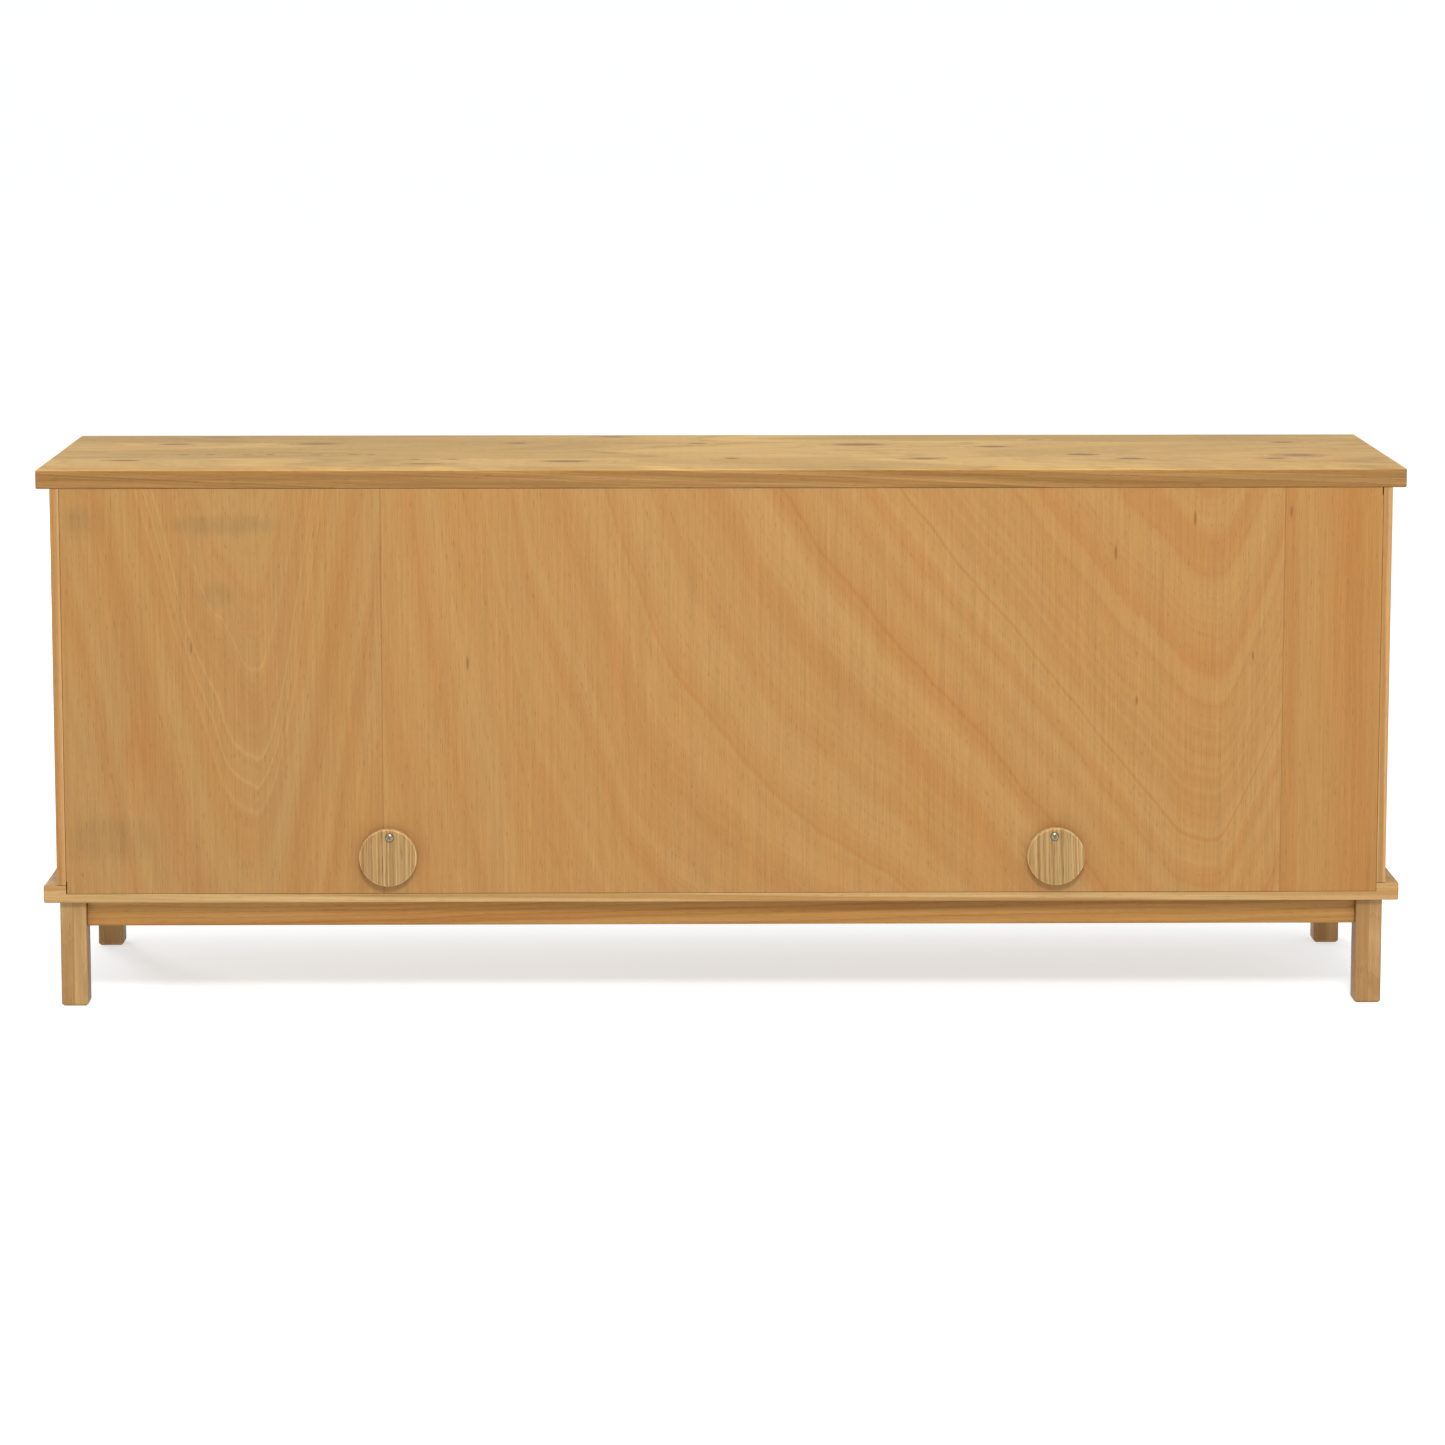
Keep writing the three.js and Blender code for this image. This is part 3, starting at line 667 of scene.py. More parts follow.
class CABINET_OT_stage(bpy.types.Operator):
    """Sets up the camera, the pale floor and the soft light"""

    bl_idname = "cabinet.stage"
    bl_label = "Stage"

    def execute(self, context):
        scene = context.scene
        stage = scene.cabinet_stage
        data = bpy.data.cameras.new("camera")
        data.lens = stage.lens
        data.sensor_width = FRAME_WIDTH_MM
        data.shift_x, data.shift_y = stage.shift
        data.clip_end = 2.0 * stage.floor_edge
        camera = in_scene("camera", data)
        camera.location = stage.camera_place
        camera.rotation_euler = (math.pi / 2 - stage.camera_pitch, 0.0, math.pi + stage.camera_turn)
        scene.camera = camera
        scene.view_settings.view_transform = "Standard"

        form = bmesh.new()
        bmesh.ops.create_grid(form, x_segments=8, y_segments=8, size=stage.floor_reach)
        for vert in form.verts:
            if max(abs(vert.co.x), abs(vert.co.y)) > stage.floor_reach * 0.9:
                vert.co *= stage.floor_edge / stage.floor_reach
        floor = in_scene("floor", as_mesh("floor", form))
        matt = Finish("floor_paint", FLOOR_ROUGHNESS)
        for name, value in (
            ("Specular IOR Level", 0.1), ("Emission Color", WHITE), ("Emission Strength", stage.floor_glow),
        ):
            matt.put(matt.shader.inputs[name], value)
        shaded = [value * FLOOR_CLOUD for value in stage.floor_colour]
        paint = matt.mix(matt.noise(matt.place, scale=0.7), stage.floor_colour, shaded)
        grain = matt.noise(matt.place, scale=900.0)
        paper = matt.finish(paint, FLOOR_ROUGHNESS, grain, relief=0.00005, strength=0.2)
        floor.data.materials.append(paper)

        world = bpy.data.worlds.new("even_light")
        scene.world = world
        world.use_nodes = True
        background = world.node_tree.nodes["Background"]
        background.inputs["Color"].default_value = WHITE
        background.inputs["Strength"].default_value = stage.sky_strength

        width = stage.overhead_width
        over = Vector((0.0, width / 4, stage.overhead_height))
        below = Vector((0.0, width / 4, 0.0))
        middle = (cad_box[0] + cad_box[1]) / 2
        self.softbox("overhead_light", over, width, stage.overhead_power, below)
        self.softbox("key_light", stage.key_place, stage.key_width, stage.key_power, middle)
        self.softbox("fill_light", stage.fill_place, stage.key_width, stage.fill_power, middle)
        return {"FINISHED"}

    def softbox(self, name, place, width, power, target):
        """A broad light at a place, turned towards its target."""
        data = bpy.data.lights.new(name, "AREA")
        data.shape = "RECTANGLE"
        data.size = width
        data.size_y = width * LIGHT_SHAPE
        data.energy = power
        light = in_scene(name, data)
        light.location = place
        light.rotation_euler = (target - Vector(place)).to_track_quat("-Z", "Y").to_euler()


# ---- The carcass ----

# Knots in the top board: along X, across Y, then half length and half width.
TOP_KNOTS = (
    (0.556, -0.108, 0.026, 0.0119),
    (0.754, -0.107, 0.027, 0.0113),
    (0.799, 0.097, 0.024, 0.0095),
    (0.394, 0.140, 0.027, 0.0073),
    (0.206, 0.111, 0.038, 0.0130),
    (0.281, -0.116, 0.018, 0.0102),
    (0.032, -0.108, 0.014, 0.0085),
    (-0.014, 0.080, 0.011, 0.0113),
    (-0.192, -0.092, 0.038, 0.0158),
    (-0.272, 0.084, 0.020, 0.0102),
    (-0.375, -0.064, 0.020, 0.0095),
    (-0.488, 0.037, 0.024, 0.0124),
    (-0.550, 0.087, 0.022, 0.0113),
    (-0.742, 0.087, 0.018, 0.0095),
    (-0.781, 0.048, 0.026, 0.0124),
    (-0.783, -0.116, 0.018, 0.0095),
    (0.726, 0.028, 0.011, 0.0052),
    (0.690, 0.026, 0.008, 0.0059),
    (0.640, 0.030, 0.010, 0.0055),
    (0.610, 0.027, 0.008, 0.0052),
    (0.547, 0.030, 0.010, 0.0055),
    (0.498, 0.026, 0.012, 0.0055),
    (0.474, 0.030, 0.008, 0.0052),
    (0.411, 0.087, 0.008, 0.0053),
    (0.360, 0.085, 0.010, 0.0053),
    (0.700, -0.190, 0.030, 0.0079),
    (0.150, -0.196, 0.020, 0.0062),
    (-0.440, -0.150, 0.012, 0.0062),
)

# Tints that multiply the top's colour, as painted light from above on its upper face and as a painted
# highlight on its rear and end arrises, and how far in from the rear and the ends the painted highlight
# starts and is full.
TOP_FACE_PAINTED_LIGHT = (1.32, 1.53, 1.27)
TOP_ARRIS_PAINTED_HIGHLIGHT = (1.22, 1.22, 1.25)
TOP_ARRIS_HIGHLIGHT_BAND = (0.0030, 0.0018)


class CABINET_OT_boards(bpy.types.Operator):
    """Makes the top board and finishes the bottom board and the shelves"""

    bl_idname = "cabinet.boards"
    bl_label = "Top, bottom and shelves"

    def execute(self, context):
        sizes, finish = context.scene.cabinet_sizes, context.scene.cabinet_finish
        wood = Oak("top_oak", "xyz", finish.top_pale, finish.top_dark)
        spots = [((x, y, 0.0), (long, wide, 0.0)) for x, y, long, wide in TOP_KNOTS]
        wood.show_knots(spots, finish.knot_brown)
        low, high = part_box("top_board")
        rings = wood.planks(sizes.board_plank, low.y, slant=0.09, seed=5.0)
        wood.grow(
            rings, sweep=0.014, figure=1.2, ring=0.0034, streaks=0.36, pores=1.2, warmth=0.3,
            knot_depth=1.0, figure_thread=0.1,
        )
        # Painted light: the upper face is made lighter, as if lit from above.
        wood.glaze(wood.rim(wood.deep, high.z, 0.0014, 0.0004), TOP_FACE_PAINTED_LIGHT)
        # Painted highlight along the upper arrises of the rear and the ends.
        rear = wood.rim(wood.across, high.y, *TOP_ARRIS_HIGHLIGHT_BAND)
        ends = wood.rim(wood.math("ABSOLUTE", wood.along), high.x, *TOP_ARRIS_HIGHLIGHT_BAND)
        upper = wood.rim(wood.deep, high.z, 0.0024, 0.0016)
        wood.glaze(wood.math("MULTIPLY", wood.math("MAXIMUM", rear, ends), upper), TOP_ARRIS_PAINTED_HIGHLIGHT)
        shape = slab(low, high, sizes.board_ease)
        piece("top_board_worked", shape, "top_board", wood.close())
        wood = Oak("bottom_oak", "xyz", finish.bottom_pale, finish.bottom_dark)
        rings = wood.planks(sizes.board_plank, low.y, slant=0.09, seed=12.0)
        board = oak_material(wood, rings, sweep=0.012, figure=0.7)
        give("bottom_board", board)
        for bay, _ in HALVES:
            node = f"{bay}_shelf"
            piece(f"{node}_board", slab(*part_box(node), sizes.board_ease), node, board)
        return {"FINISHED"}


class CABINET_OT_sides(bpy.types.Operator):
    """Finishes the sides and the partition"""

    bl_idname = "cabinet.sides"
    bl_label = "Sides and partition"

    def execute(self, context):
        sizes, finish = context.scene.cabinet_sizes, context.scene.cabinet_finish
        wood = Oak("side_oak", "zyx", finish.side_pale, finish.side_dark)
        low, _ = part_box("left_side")
        rings = wood.planks(sizes.side_plank, low.y, slant=0.12, seed=21.0)
        side = oak_material(wood, rings, sweep=0.014)
        for node in ("left_side", "right_side", "partition"):
            give(node, side)
        return {"FINISHED"}


# Leaves of the back's veneer from -X to +X: start, heart, roundness of the figure's tip, its
# slope, distances from the heart over which the slope eases off, how steeply it climbs on the
# low and high sides of the heart, and shade (0 grey, 1 warm).
BACK_LEAVES = (
    (-1.000, -1.600, 0.01, 0.030, (1.0, 2.0), 1.0, 1.0, 1.00),
    (-0.741, -0.655, 0.06, 0.766, (0.3, 1.05), 2.2, 1.0, 0.95),
    (0.449, 0.616, 0.05, 0.233, (0.3, 1.0), 1.6, 1.0, 0.45),
)

# Lines and bands that stand out of the figure: leaf, place among its rings, half width, tint
# and strength.
BACK_LINES = (
    (1, 0.813, 0.0040, (0.92, 0.76, 0.58), 0.42),
    (1, 0.846, 0.0220, (1.06, 1.10, 1.16), 0.60),
    (1, 0.572, 0.0040, (0.90, 0.74, 0.56), 0.50),
    (1, 0.606, 0.0240, (1.06, 1.10, 1.16), 0.60),
    (1, 0.420, 0.0036, (0.92, 0.76, 0.60), 0.60),
    (1, 0.455, 0.0200, (1.05, 1.08, 1.12), 0.50),
    (1, 0.250, 0.0300, (1.03, 0.98, 0.92), 0.60),
    (2, 0.109, 0.0014, (1.12, 1.18, 1.26), 0.55),
    (2, 0.138, 0.0014, (1.14, 1.20, 1.28), 0.65),
    (2, 0.148, 0.0012, (1.12, 1.18, 1.26), 0.60),
    (2, 0.157, 0.0014, (1.12, 1.18, 1.26), 0.55),
)

# Pin streaks in the veneer: X, height, half width and half height.
BACK_PINS = (
    (0.700, 0.484, 0.0016, 0.008),
    (0.336, 0.463, 0.0018, 0.010),
    (-0.518, 0.609, 0.0022, 0.010),
    (-0.622, 0.655, 0.0018, 0.010),
    (-0.548, 0.412, 0.0016, 0.007),
    (-0.749, 0.663, 0.0020, 0.009),
    (-0.701, 0.471, 0.0016, 0.007),
)

# Greyer and redder patches of the veneer: X, height, half width and half height.
GREY_PATCHES = (
    (0.659, 0.647, 0.080, 0.014),
    (0.666, 0.554, 0.022, 0.018),
    (0.838, 0.651, 0.030, 0.022),
    (0.809, 0.228, 0.060, 0.032),
)
RED_PATCHES = ((0.772, 0.333, 0.024, 0.075),)

# Patches of the veneer with the tint and the strength of each kind.
PATCHES = ((GREY_PATCHES, (0.80, 0.84, 0.88), 0.75), (RED_PATCHES, (0.98, 0.74, 0.58), 0.45))

# The panel's two nicked corners: their depth, and the heights at which each starts to run out
# and is gone, from the foot on the +X side and from the head on the -X side.
NICK_DEPTH = 0.0012
FOOT_NICK = (0.016, 0.018)
HEAD_NICK = (0.009, 0.011)

# Tints that multiply the veneer's colour on its narrow outer leaf and along its seams.
OUTER_LEAF_TINT = (0.98, 0.93, 0.86)
VENEER_SEAM_TINT = (0.45, 0.33, 0.24)


def upright(spots):
    """Spots given by X and height, as middles and half sizes along and across upright grain."""
    return [((z, x, 0.0), (tall, wide, 0.0)) for x, z, wide, tall in spots]


class CABINET_OT_back(bpy.types.Operator):
    """Makes the veneered back panel with its cable holes"""

    bl_idname = "cabinet.back"
    bl_label = "Back panel"

    def execute(self, context):
        sizes, finish = context.scene.cabinet_sizes, context.scene.cabinet_finish
        wood = Oak("back_veneer", "zxy", finish.back_pale, finish.back_dark)
        wood.show_knots(upright(BACK_PINS), finish.knot_brown, wobble=0.003)
        low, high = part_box("back_panel")
        lines = [(at + 2.0 * number, half, tint, share) for number, at, half, tint, share in BACK_LINES]
        wood.grow(
            wood.leaves(high.z, BACK_LEAVES), sweep=0.05, ripple=0.003, growth_scale=20.0, ring=0.0105,
            figure=0.05, pores=0.6, streaks=0.13, warmth=0.75, lines=lines, pore_size=(75.0, 760.0),
            knot_depth=0.5, warm=(1.02, 0.96, 0.86), figure_thread=0.03,
        )
        seam = BACK_LEAVES[1][0]
        wood.glaze(wood.spread(wood.across, seam - 0.0005, seam + 0.0005, 1.0, 0.0), OUTER_LEAF_TINT)
        place = wood.place_in_wood()
        for patches, tint, share in PATCHES:
            near = wood.spread(wood.nearest(place, upright(patches)), 0.4, 1.3, share, 0.0)
            ragged = wood.noise(wood.stretched(place, 14.0, 60.0, 1.0), detail=3.0)
            wood.glaze(wood.math("MULTIPLY", near, wood.spread(ragged, 0.3, 0.6, 0.35, 1.0)), tint)
        for start, *_ in BACK_LEAVES[1:]:
            seam = wood.off(wood.across, start)
            wood.glaze(wood.spread(seam, 0.0002, 0.0011, 0.4, 0.0), VENEER_SEAM_TINT)
        veneer = wood.close(relief=0.00018, strength=0.4)

        right, left = high.x - NICK_DEPTH, low.x + NICK_DEPTH
        outline = [
            (low.x, low.z), (right, low.z), (right, low.z + FOOT_NICK[0]),
            (high.x, low.z + FOOT_NICK[1]), (high.x, high.z), (left, high.z),
            (left, high.z - HEAD_NICK[0]), (low.x, high.z - HEAD_NICK[1]),
        ]
        loops = [outline]
        for half, _ in HALVES:
            hole = opening(f"{half}_cable_hole")
            pivot = Vector(joint(f"{half}_cover_swivel")["pos_m"])
            for at, radius in ((hole, sizes.cable_hole), (pivot, sizes.screw_hole)):
                loops.append([(at.x + aside, at.z + up) for aside, up in circle(radius, 72)])
        panel = bmesh.new()
        edges = []
        for loop in loops:
            verts = [panel.verts.new((x, low.y, z)) for x, z in loop]
            edges += [panel.edges.new((verts[n - 1], verts[n])) for n in range(len(verts))]
        bmesh.ops.triangle_fill(panel, use_beauty=True, use_dissolve=False, edges=edges)
        thick = bmesh.ops.extrude_face_region(panel, geom=list(panel.faces))
        far = [item for item in thick["geom"] if isinstance(item, bmesh.types.BMVert)]
        bmesh.ops.translate(panel, vec=(0.0, high.y - low.y, 0.0), verts=far)
        piece("back_veneered_panel", panel, "back_panel", veneer, even=False)
        return {"FINISHED"}


# ---- The leg frame ----


class CABINET_OT_legs(bpy.types.Operator):
    """Makes the four laminated legs and the rails between them"""

    bl_idname = "cabinet.legs"
    bl_label = "Leg frame"

    def execute(self, context):
        sizes, finish = context.scene.cabinet_sizes, context.scene.cabinet_finish
        wood = Oak("leg_oak", "zxy", finish.leg_pale, finish.leg_dark)
        wood.mirror_halves(shift=1.37)
        _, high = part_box("rear_right_leg")
        rings = wood.planks(sizes.leg_strip, high.x, slant=0.1, seed=3.0)
        wood.grow(rings, sweep=0.008, ripple=0.0016, figure=0.8, pores=1.1)
        glue = wood.spread(wood.plank_edge, sizes.leg_strip / 2 - 0.0004, sizes.leg_strip / 2, 0.0, 0.5)
        wood.glaze(glue, (0.5, 0.38, 0.28))
        leg = wood.close()
        for end, _ in HALVES:
            for node in (f"front_{end}_leg", f"rear_{end}_leg"):
                shape = slab(*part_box(node), sizes.leg_ease, foot=sizes.foot_ease)
                piece(f"{node}_worked", shape, node, leg)

        long_wood = Oak("long_rail_oak", "xzy", finish.rail_pale, finish.rail_dark)
        rings = long_wood.straight(aside=0.05, depth=0.06, slant=0.02)
        long_rail = oak_material(long_wood, rings, sweep=0.02)
        short_wood = Oak("short_rail_oak", "yzx", finish.rail_pale, finish.rail_dark)
        rings = short_wood.straight(aside=0.04, depth=0.05, slant=0.03)
        short_rail = oak_material(short_wood, rings, sweep=0.02)
        for rail, material in (
            ("front_rail", long_rail), ("rear_rail", long_rail), ("left_rail", short_rail),
            ("right_rail", short_rail), ("centre_rail", short_rail),
        ):
            piece(f"{rail}_worked", slab(*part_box(rail), sizes.rail_ease), rail, material)
        return {"FINISHED"}


# ---- The doors ----


# The veneer of the door panels from -X to +X: where the heart lies across the panel, roundness
# of the figure's tip, its slope, how steeply it climbs on either side of the heart, and shade.
PANEL_LEAVES = (
    (0.30, 0.035, 0.34, 1.0, 1.5, 0.60),
    (0.62, 0.055, 0.20, 1.4, 0.9, 0.85),
    (0.44, 0.030, 0.29, 0.8, 1.2, 0.50),
    (0.74, 0.045, 0.23, 1.6, 0.8, 0.75),
)


class CABINET_OT_doors(bpy.types.Operator):
    """Finishes the doors' frames and panels"""

    bl_idname = "cabinet.doors"
    bl_label = "Doors"

    def execute(self, context):
        sizes, finish = context.scene.cabinet_sizes, context.scene.cabinet_finish
        wood = Oak("door_frame_oak", "zxy", finish.door_pale, finish.door_dark)
        offset = wood.math("ABSOLUTE", wood.axes["x"])
        is_rail = 0.0
        joint_line = 1.0
        for node in ("right_inner_door_frame", "right_outer_door_frame"):
            low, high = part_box(node)
            start, end = low.x + sizes.stile, high.x - sizes.stile
            past, short = wood.math("GREATER_THAN", offset, start), wood.math("LESS_THAN", offset, end)
            is_rail = wood.math("MAXIMUM", is_rail, wood.math("MULTIPLY", past, short))
            for edge in (start, end):
                joint_line = wood.math("MINIMUM", joint_line, wood.off(offset, edge))
        wood.turn_rails(is_rail, "x", "z")
        wood.grow(wood.straight(aside=0.07, depth=0.05, slant=0.03), sweep=0.022)
        wood.glaze(wood.spread(joint_line, 0.0001, 0.0006, 0.6, 0.0), (0.36, 0.26, 0.19))
        frame_oak = wood.close()

        wood = Oak("door_panel_veneer", "zxy", finish.door_pale, finish.door_dark)
        leaves = []
        by_place = sorted(DOORS, key=lambda door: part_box(f"{door}_panel")[0].x)
        for door, (heart, tip, slope, low_side, high_side, shade) in zip(by_place, PANEL_LEAVES):
            low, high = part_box(f"{door}_panel")
            heart = low.x + (high.x - low.x) * heart
            start = low.x - sizes.stile / 2
            leaves.append((start, heart, tip, slope, (0.2, 0.9), low_side, high_side, shade))
        panel_oak = oak_material(
            wood, wood.leaves(high.z, leaves), sweep=0.05, ripple=0.003, growth_scale=34.0,
            ring=0.009, figure=0.5, streaks=0.24,
        )
        for door in DOORS:
            give(f"{door}_frame", frame_oak)
            give(f"{door}_panel", panel_oak)
        return {"FINISHED"}


# The outline of a knob as shares of its radius and length, from the door outwards.
KNOB_OUTLINE = (
    (0.0, 0.0), (0.57, 0.0), (0.575, 0.03), (0.56, 0.07), (0.5, 0.12), (0.475, 0.2), (0.47, 0.28),
    (0.5, 0.35), (0.6, 0.41), (0.76, 0.465), (0.9, 0.54), (0.98, 0.63), (1.0, 0.71), (0.975, 0.79),
    (0.89, 0.87), (0.74, 0.935), (0.54, 0.975), (0.3, 0.995), (0.0, 1.0),
)


class CABINET_OT_knobs(bpy.types.Operator):
    """Turns the doors' knobs and puts in their screws"""

    bl_idname = "cabinet.knobs"
    bl_label = "Knobs"

    def execute(self, context):
        sizes, finish = context.scene.cabinet_sizes, context.scene.cabinet_finish
        wood = Oak("knob_oak", "zxy", finish.door_pale, finish.door_dark)
        rings = wood.straight(aside=0.03, depth=0.05, slant=0.02)
        knob_oak = oak_material(wood, rings, sweep=0.006, ring=0.003)
        steel = metal("knob_screw_steel", finish.steel_tone, roughness=0.3, brush=260.0)
        for door in DOORS:
            node = f"{door}_knob"
            low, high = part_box(node)
            middle = (low + high) / 2
            radius = (high.z - low.z) / 2
            outline = [(share * radius, along * (high.y - low.y)) for share, along in KNOB_OUTLINE]
            foot = (middle.x, high.y, middle.z)
            knob = turned(outline, foot, (0, -1, 0))
            piece(f"{door}_turned_knob", knob, node, knob_oak, even=False)
            _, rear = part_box(f"{door}_frame")
            head = cross_head(
                sizes.knob_screw, height=0.0019, width=sizes.recess_width, depth=0.0011, edge=0.0003,
            )
            moved(head, facing((middle.x, rear.y, middle.z), (0, 1, 0)))
            piece(f"{door}_knob_screw", head, node, steel, instead=False, even=False)
        return {"FINISHED"}


def cross_head(radius, height, width, depth, edge, turn=0.0):
    """A screw's domed head on the origin, with a cross recess in its top."""
    outline = [(0.0, 0.0), (radius * 0.96, 0.0), (radius, edge * 0.4), (radius, edge)]
    steps = 7
    for step in range(1, steps):
        angle = math.pi / 2 * step / steps
        outline.append((radius * math.cos(angle), edge + (height - edge) * math.sin(angle)))
    outline.append((0.0, height))
    head = turned(outline, (0, 0, 0), (0, 0, 1), flats=48)
    reach = radius * 0.56
    for x, y in ((reach, width / 2), (width / 2, reach)):
        arm = box_form((-x, -y, height - depth), (x, y, height * 2))
        head = carved(head, moved(arm, Matrix.Rotation(turn, 4, "Z")))
    return head


def way_to(node, x):
    """1 if the middle of a node lies on the +X side of x, or else -1."""
    low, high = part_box(node)
    return 1 if (low.x + high.x) / 2 > x else -1


# A hinge pin's cap: shares of the knuckle's radius, with heights.
PIN_CAP = ((0.0, 0.0), (0.62, 0.0), (0.6, 0.0005), (0.4, 0.001), (0.0, 0.0012))
HINGE_SCREWS = 3


class CABINET_OT_hinges(bpy.types.Operator):
    """Makes the brass hinges with their knuckles, pins and screws"""

    bl_idname = "cabinet.hinges"
    bl_label = "Hinges"

    def execute(self, context):
        sizes, finish = context.scene.cabinet_sizes, context.scene.cabinet_finish
        brass = metal("hinge_brass", finish.brass_tone, roughness=0.3, brush=220.0)
        play = sizes.hinge_play
        for door in DOORS:
            axis_x, axis_y, _ = joint(f"{door}_hinge")["pos_m"]
            for place in ("upper", "lower"):
                fixed = f"{door}_{place}_fixed_leaf"
                moving = f"{door}_{place}_door_leaf"
                low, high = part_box(fixed)
                height = high.z - low.z
                first, second = low.z + height / 3, high.z - height / 3
                radius = axis_y - low.y
                spans = {
                    fixed: ((low.z, first), (second, high.z)),
                    moving: ((first + play, second - play),),
                }
                to_door = way_to(f"{door}_frame", axis_x)
                for node, owned in spans.items():
                    outward = to_door if node == moving else -to_door
                    span = (low.z, high.z)
                    self.leaf(node, owned, (axis_x, axis_y), radius, outward, span, high.y, brass, sizes)
        return {"FINISHED"}

    def leaf(self, node, owned, axis, radius, outward, span, rear, brass, sizes):
        """One leaf with the knuckles that it owns."""
        axis_x, axis_y = axis
        start = sizes.hinge_gap / 2 - sizes.leaf_thickness
        near, far = sorted((axis_x + outward * start, axis_x + outward * (start + sizes.leaf_thickness)))
        clear = radius + sizes.hinge_play / 2
        plate = slab((near, axis_y + clear, span[0]), (far, rear, span[1]), 0.0002, steps=1)
        forms = [plate]
        for low, high in owned:
            forms.append(slab((near, axis_y, low), (far, axis_y + clear + 0.0006, high), 0.0001, steps=1))
            rim = round_rim(radius, 0.0, high - low, 0.0003, steps=2)
            forms.append(turned(rim, (axis_x, axis_y, low), (0, 0, 1), flats=40))
        if len(owned) > 1:
            cap = [(share * radius, height) for share, height in PIN_CAP]
            for height, way in ((span[0], -1), (span[1], 1)):
                forms.append(turned(cap, (axis_x, axis_y, height), (0, 0, way), flats=32))
        for number in range(HINGE_SCREWS):
            z = span[0] + (span[1] - span[0]) * (number + 0.5) / HINGE_SCREWS
            y = axis_y + clear + (rear - axis_y - clear) * (0.62 if number % 2 else 0.42)
            face = near if outward > 0 else far
            head = cross_head(
                sizes.hinge_screw, height=sizes.hinge_screw_rise, width=0.0007, depth=0.0001,
                edge=0.0001, turn=0.5 + number,
            )
            forms.append(moved(head, facing((face, y, z), (-outward, 0, 0))))
        piece(f"{node}_worked", joined(*forms), node, brass, even=False)


# ---- Small fittings ----


class CABINET_OT_fittings(bpy.types.Operator):
    """Finishes the shelf pins and makes the catches with their strike plates"""

    bl_idname = "cabinet.fittings"
    bl_label = "Pins and catches"

    def execute(self, context):
        sizes, finish = context.scene.cabinet_sizes, context.scene.cabinet_finish
        steel = metal("fitting_steel", finish.steel_tone, roughness=0.32, brush=240.0)
        plastic = moulded("catch_plastic", finish.catch_brown, roughness=0.5)
        for bay, _ in HALVES:
            for number in range(1, 5):
                give(f"{bay}_shelf_pin_{number}", steel)
            node = f"{bay}_catch"
            low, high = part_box(node)
            piece(f"{node}_body", slab(low, high, sizes.catch_ease), node, plastic)
            middle = (low + high) / 2
            half = Vector((sizes.strike_width, sizes.strike_thickness, sizes.strike_height)) / 2
            for door in (f"{bay}_outer_door", f"{bay}_inner_door"):
                node = f"{door}_frame"
                x = middle.x + way_to(node, middle.x) * (high.x - low.x) / 4
                at = Vector((x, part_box(node)[1].y + half.y, middle.z))
                plate = slab(at - half, at + half, sizes.strike_ease, steps=2)
                piece(f"{door}_strike_plate", plate, node, steel, instead=False)
        return {"FINISHED"}


# Tint of the painted highlight on the covers' rounded rims.
COVER_RIM_PAINTED_HIGHLIGHT = (1.42, 1.44, 1.5)

# How far the tool that bores a cover reaches on either side of its middle.
BORE_REACH = 0.02


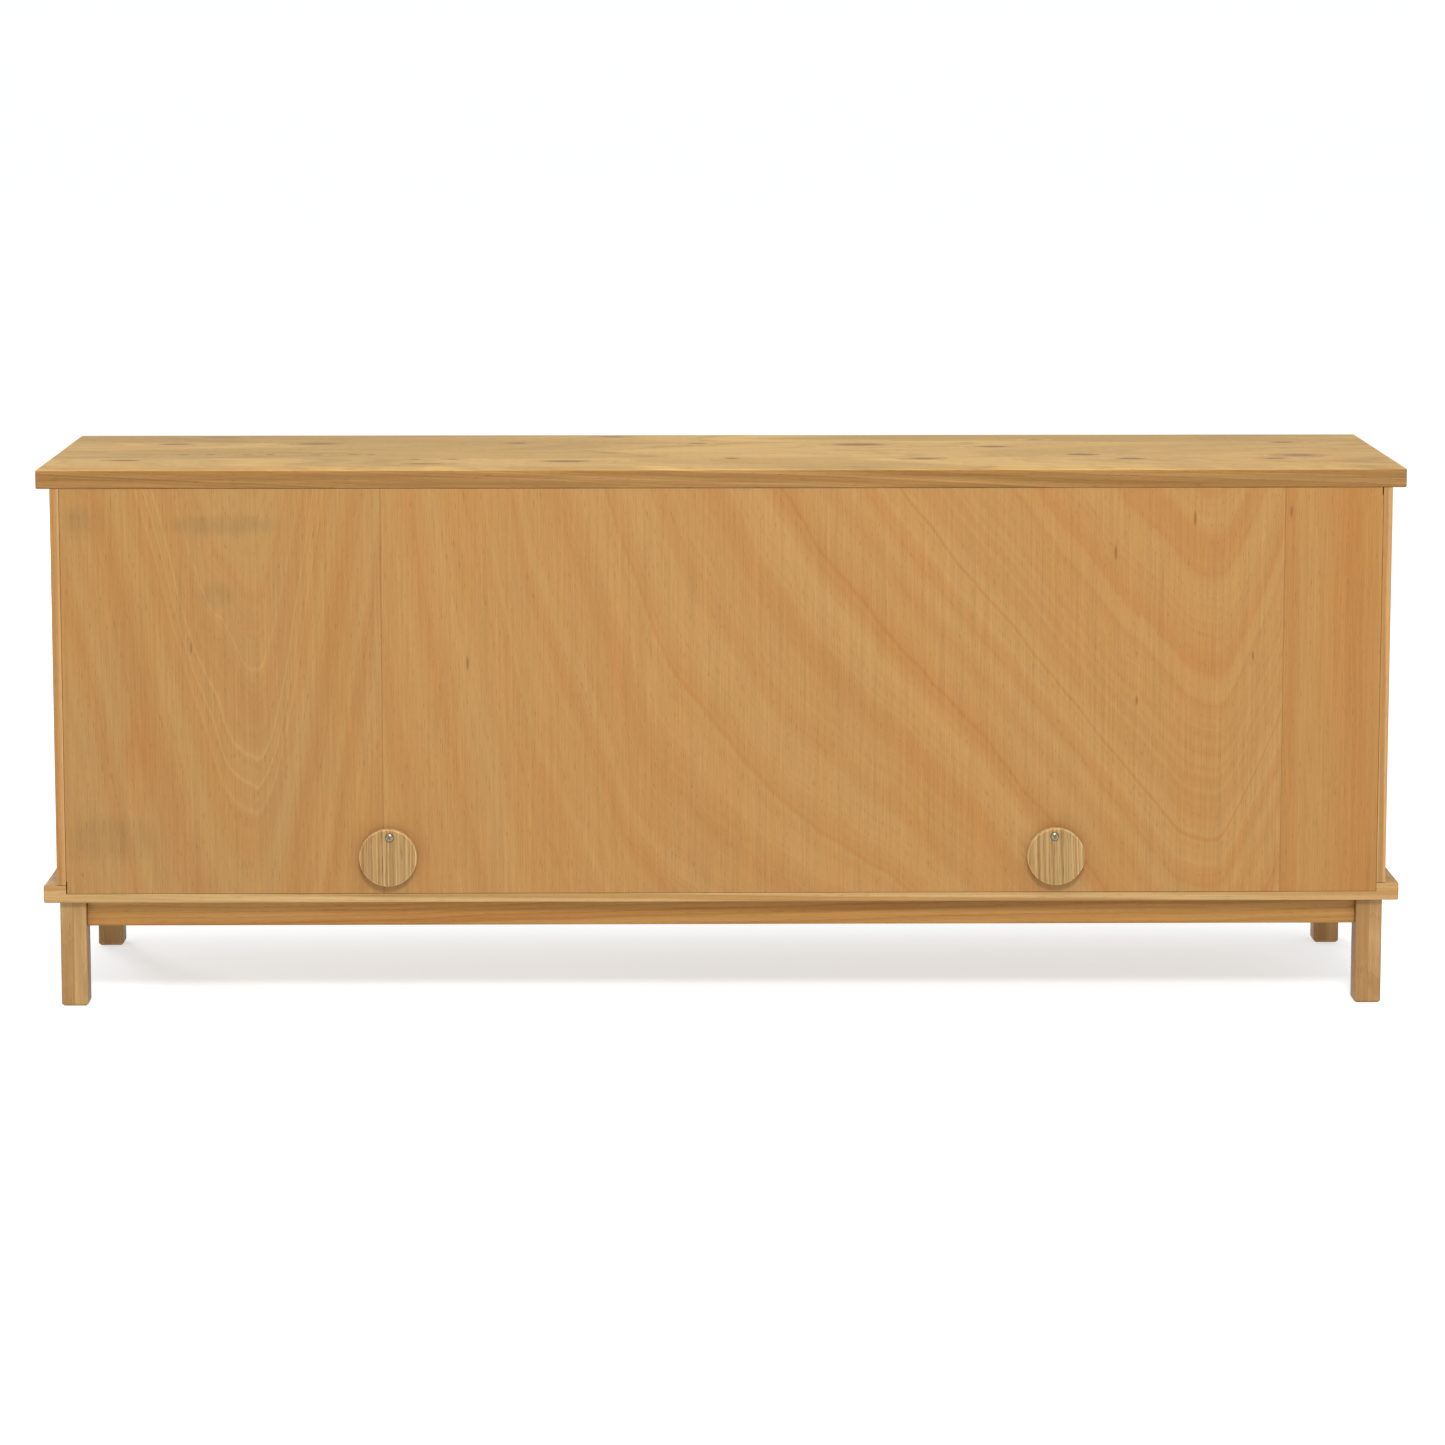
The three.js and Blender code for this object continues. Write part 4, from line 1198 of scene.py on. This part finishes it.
class CABINET_OT_covers(bpy.types.Operator):
    """Turns the cable-hole covers and puts in the screws that they swivel on"""

    bl_idname = "cabinet.covers"
    bl_label = "Cable-hole covers"

    def execute(self, context):
        sizes, finish = context.scene.cabinet_sizes, context.scene.cabinet_finish
        wood = Oak("cover_oak", "zxy", finish.turned_pale, finish.turned_dark)
        wood.grow(
            wood.straight(aside=0.03, depth=0.09, slant=0.03), sweep=0.014, ring=0.0043, figure=0.35,
            growth_scale=330.0, streaks=0.34, pores=1.5, pore_size=(40.0, 900.0), figure_thread=0.1,
        )
        low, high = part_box("right_cable_cover")
        middle = (low + high) / 2
        from_middle = wood.vector(
            wood.math("SUBTRACT", wood.math("ABSOLUTE", wood.axes["x"]), middle.x),
            wood.math("SUBTRACT", wood.axes["z"], middle.z),
            0.0,
        )
        edge = (high.x - low.x) / 2
        # Painted highlight round the rounded rim of each cover.
        rim_highlight = wood.rim(wood.vector_math("LENGTH", from_middle), edge, 0.0018, 0.0006)
        wood.glaze(rim_highlight, COVER_RIM_PAINTED_HIGHLIGHT)
        cover_oak = wood.close(relief=0.00025, strength=0.5)
        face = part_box("right_cover_screw")[1].y
        # Painted shade on the lower rim of each screw head and deep in its cross recess.
        painted_shade = (face - 0.0024, face - 0.0008)
        steel = metal("cover_screw_steel", finish.screw_tone, roughness=0.3, brush=300.0, painted_shade=painted_shade)
        for end, half in HALVES:
            node = f"{end}_cable_cover"
            low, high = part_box(node)
            middle = (low + high) / 2
            pivot = Vector(joint(f"{end}_cover_swivel")["pos_m"])
            rim = round_rim((high.x - low.x) / 2, 0.0, high.y - low.y, sizes.cover_ease)
            disc = turned(rim, (middle.x, low.y, middle.z), (0, 1, 0), flats=96)
            hole = [(at, -BORE_REACH) for at in (0.0, sizes.screw_hole)]
            hole += [(at, BORE_REACH) for at in (sizes.screw_hole, 0.0)]
            bore = turned(hole, (pivot.x, middle.y, pivot.z), (0, 1, 0), flats=32)
            piece(f"{end}_turned_cover", carved(disc, bore), node, cover_oak)

            node = f"{end}_cover_screw"
            low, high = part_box(node)
            seat = high.y - sizes.screw_head
            head = cross_head(
                (high.x - low.x) / 2, height=sizes.screw_head, width=sizes.recess_width,
                depth=sizes.recess_depth, edge=0.0004, turn=0.35 * half,
            )
            moved(head, facing((pivot.x, seat, pivot.z), (0, 1, 0)))
            shank = [
                (0.0, 0.0), (sizes.screw_shank * 0.3, 0.0), (sizes.screw_shank, 0.004),
                (sizes.screw_shank, seat - low.y), (0.0, seat - low.y),
            ]
            shank = turned(shank, (pivot.x, low.y, pivot.z), (0, 1, 0), flats=32)
            screw = joined(head, shank)
            piece(f"{end}_pan_head_screw", screw, node, steel, even=False)
        return {"FINISHED"}


# ---- The sidebar, and making the whole ----

OPERATORS = (
    CABINET_OT_stage,
    CABINET_OT_boards,
    CABINET_OT_sides,
    CABINET_OT_back,
    CABINET_OT_legs,
    CABINET_OT_doors,
    CABINET_OT_knobs,
    CABINET_OT_hinges,
    CABINET_OT_fittings,
    CABINET_OT_covers,
)


class CABINET_PT_pieces(bpy.types.Panel):
    """Lists the cabinet's sizes, finishes and pieces"""

    bl_idname = "CABINET_PT_pieces"
    bl_label = "Media cabinet"
    bl_space_type = "VIEW_3D"
    bl_region_type = "UI"
    bl_category = "Cabinet"

    def draw(self, context):
        layout = self.layout
        for title, group in (
            ("Stage", context.scene.cabinet_stage),
            ("Finish", context.scene.cabinet_finish),
            ("Sizes", context.scene.cabinet_sizes),
        ):
            box = layout.box()
            box.label(text=title)
            for name in group.__annotations__:
                box.prop(group, name)
        for operator in OPERATORS:
            layout.operator(operator.bl_idname)


CLASSES = (CabinetStage, CabinetFinish, CabinetSizes, *OPERATORS, CABINET_PT_pieces)


def register():
    for cls in CLASSES:
        bpy.utils.register_class(cls)
    bpy.types.Scene.cabinet_stage = PointerProperty(type=CabinetStage)
    bpy.types.Scene.cabinet_finish = PointerProperty(type=CabinetFinish)
    bpy.types.Scene.cabinet_sizes = PointerProperty(type=CabinetSizes)


def unregister():
    del bpy.types.Scene.cabinet_sizes
    del bpy.types.Scene.cabinet_finish
    del bpy.types.Scene.cabinet_stage
    for cls in reversed(CLASSES):
        bpy.utils.unregister_class(cls)


def main():
    register()
    for operator in OPERATORS:
        group, name = operator.bl_idname.split(".")
        getattr(getattr(bpy.ops, group), name)()


if __name__ == "__main__":
    main()
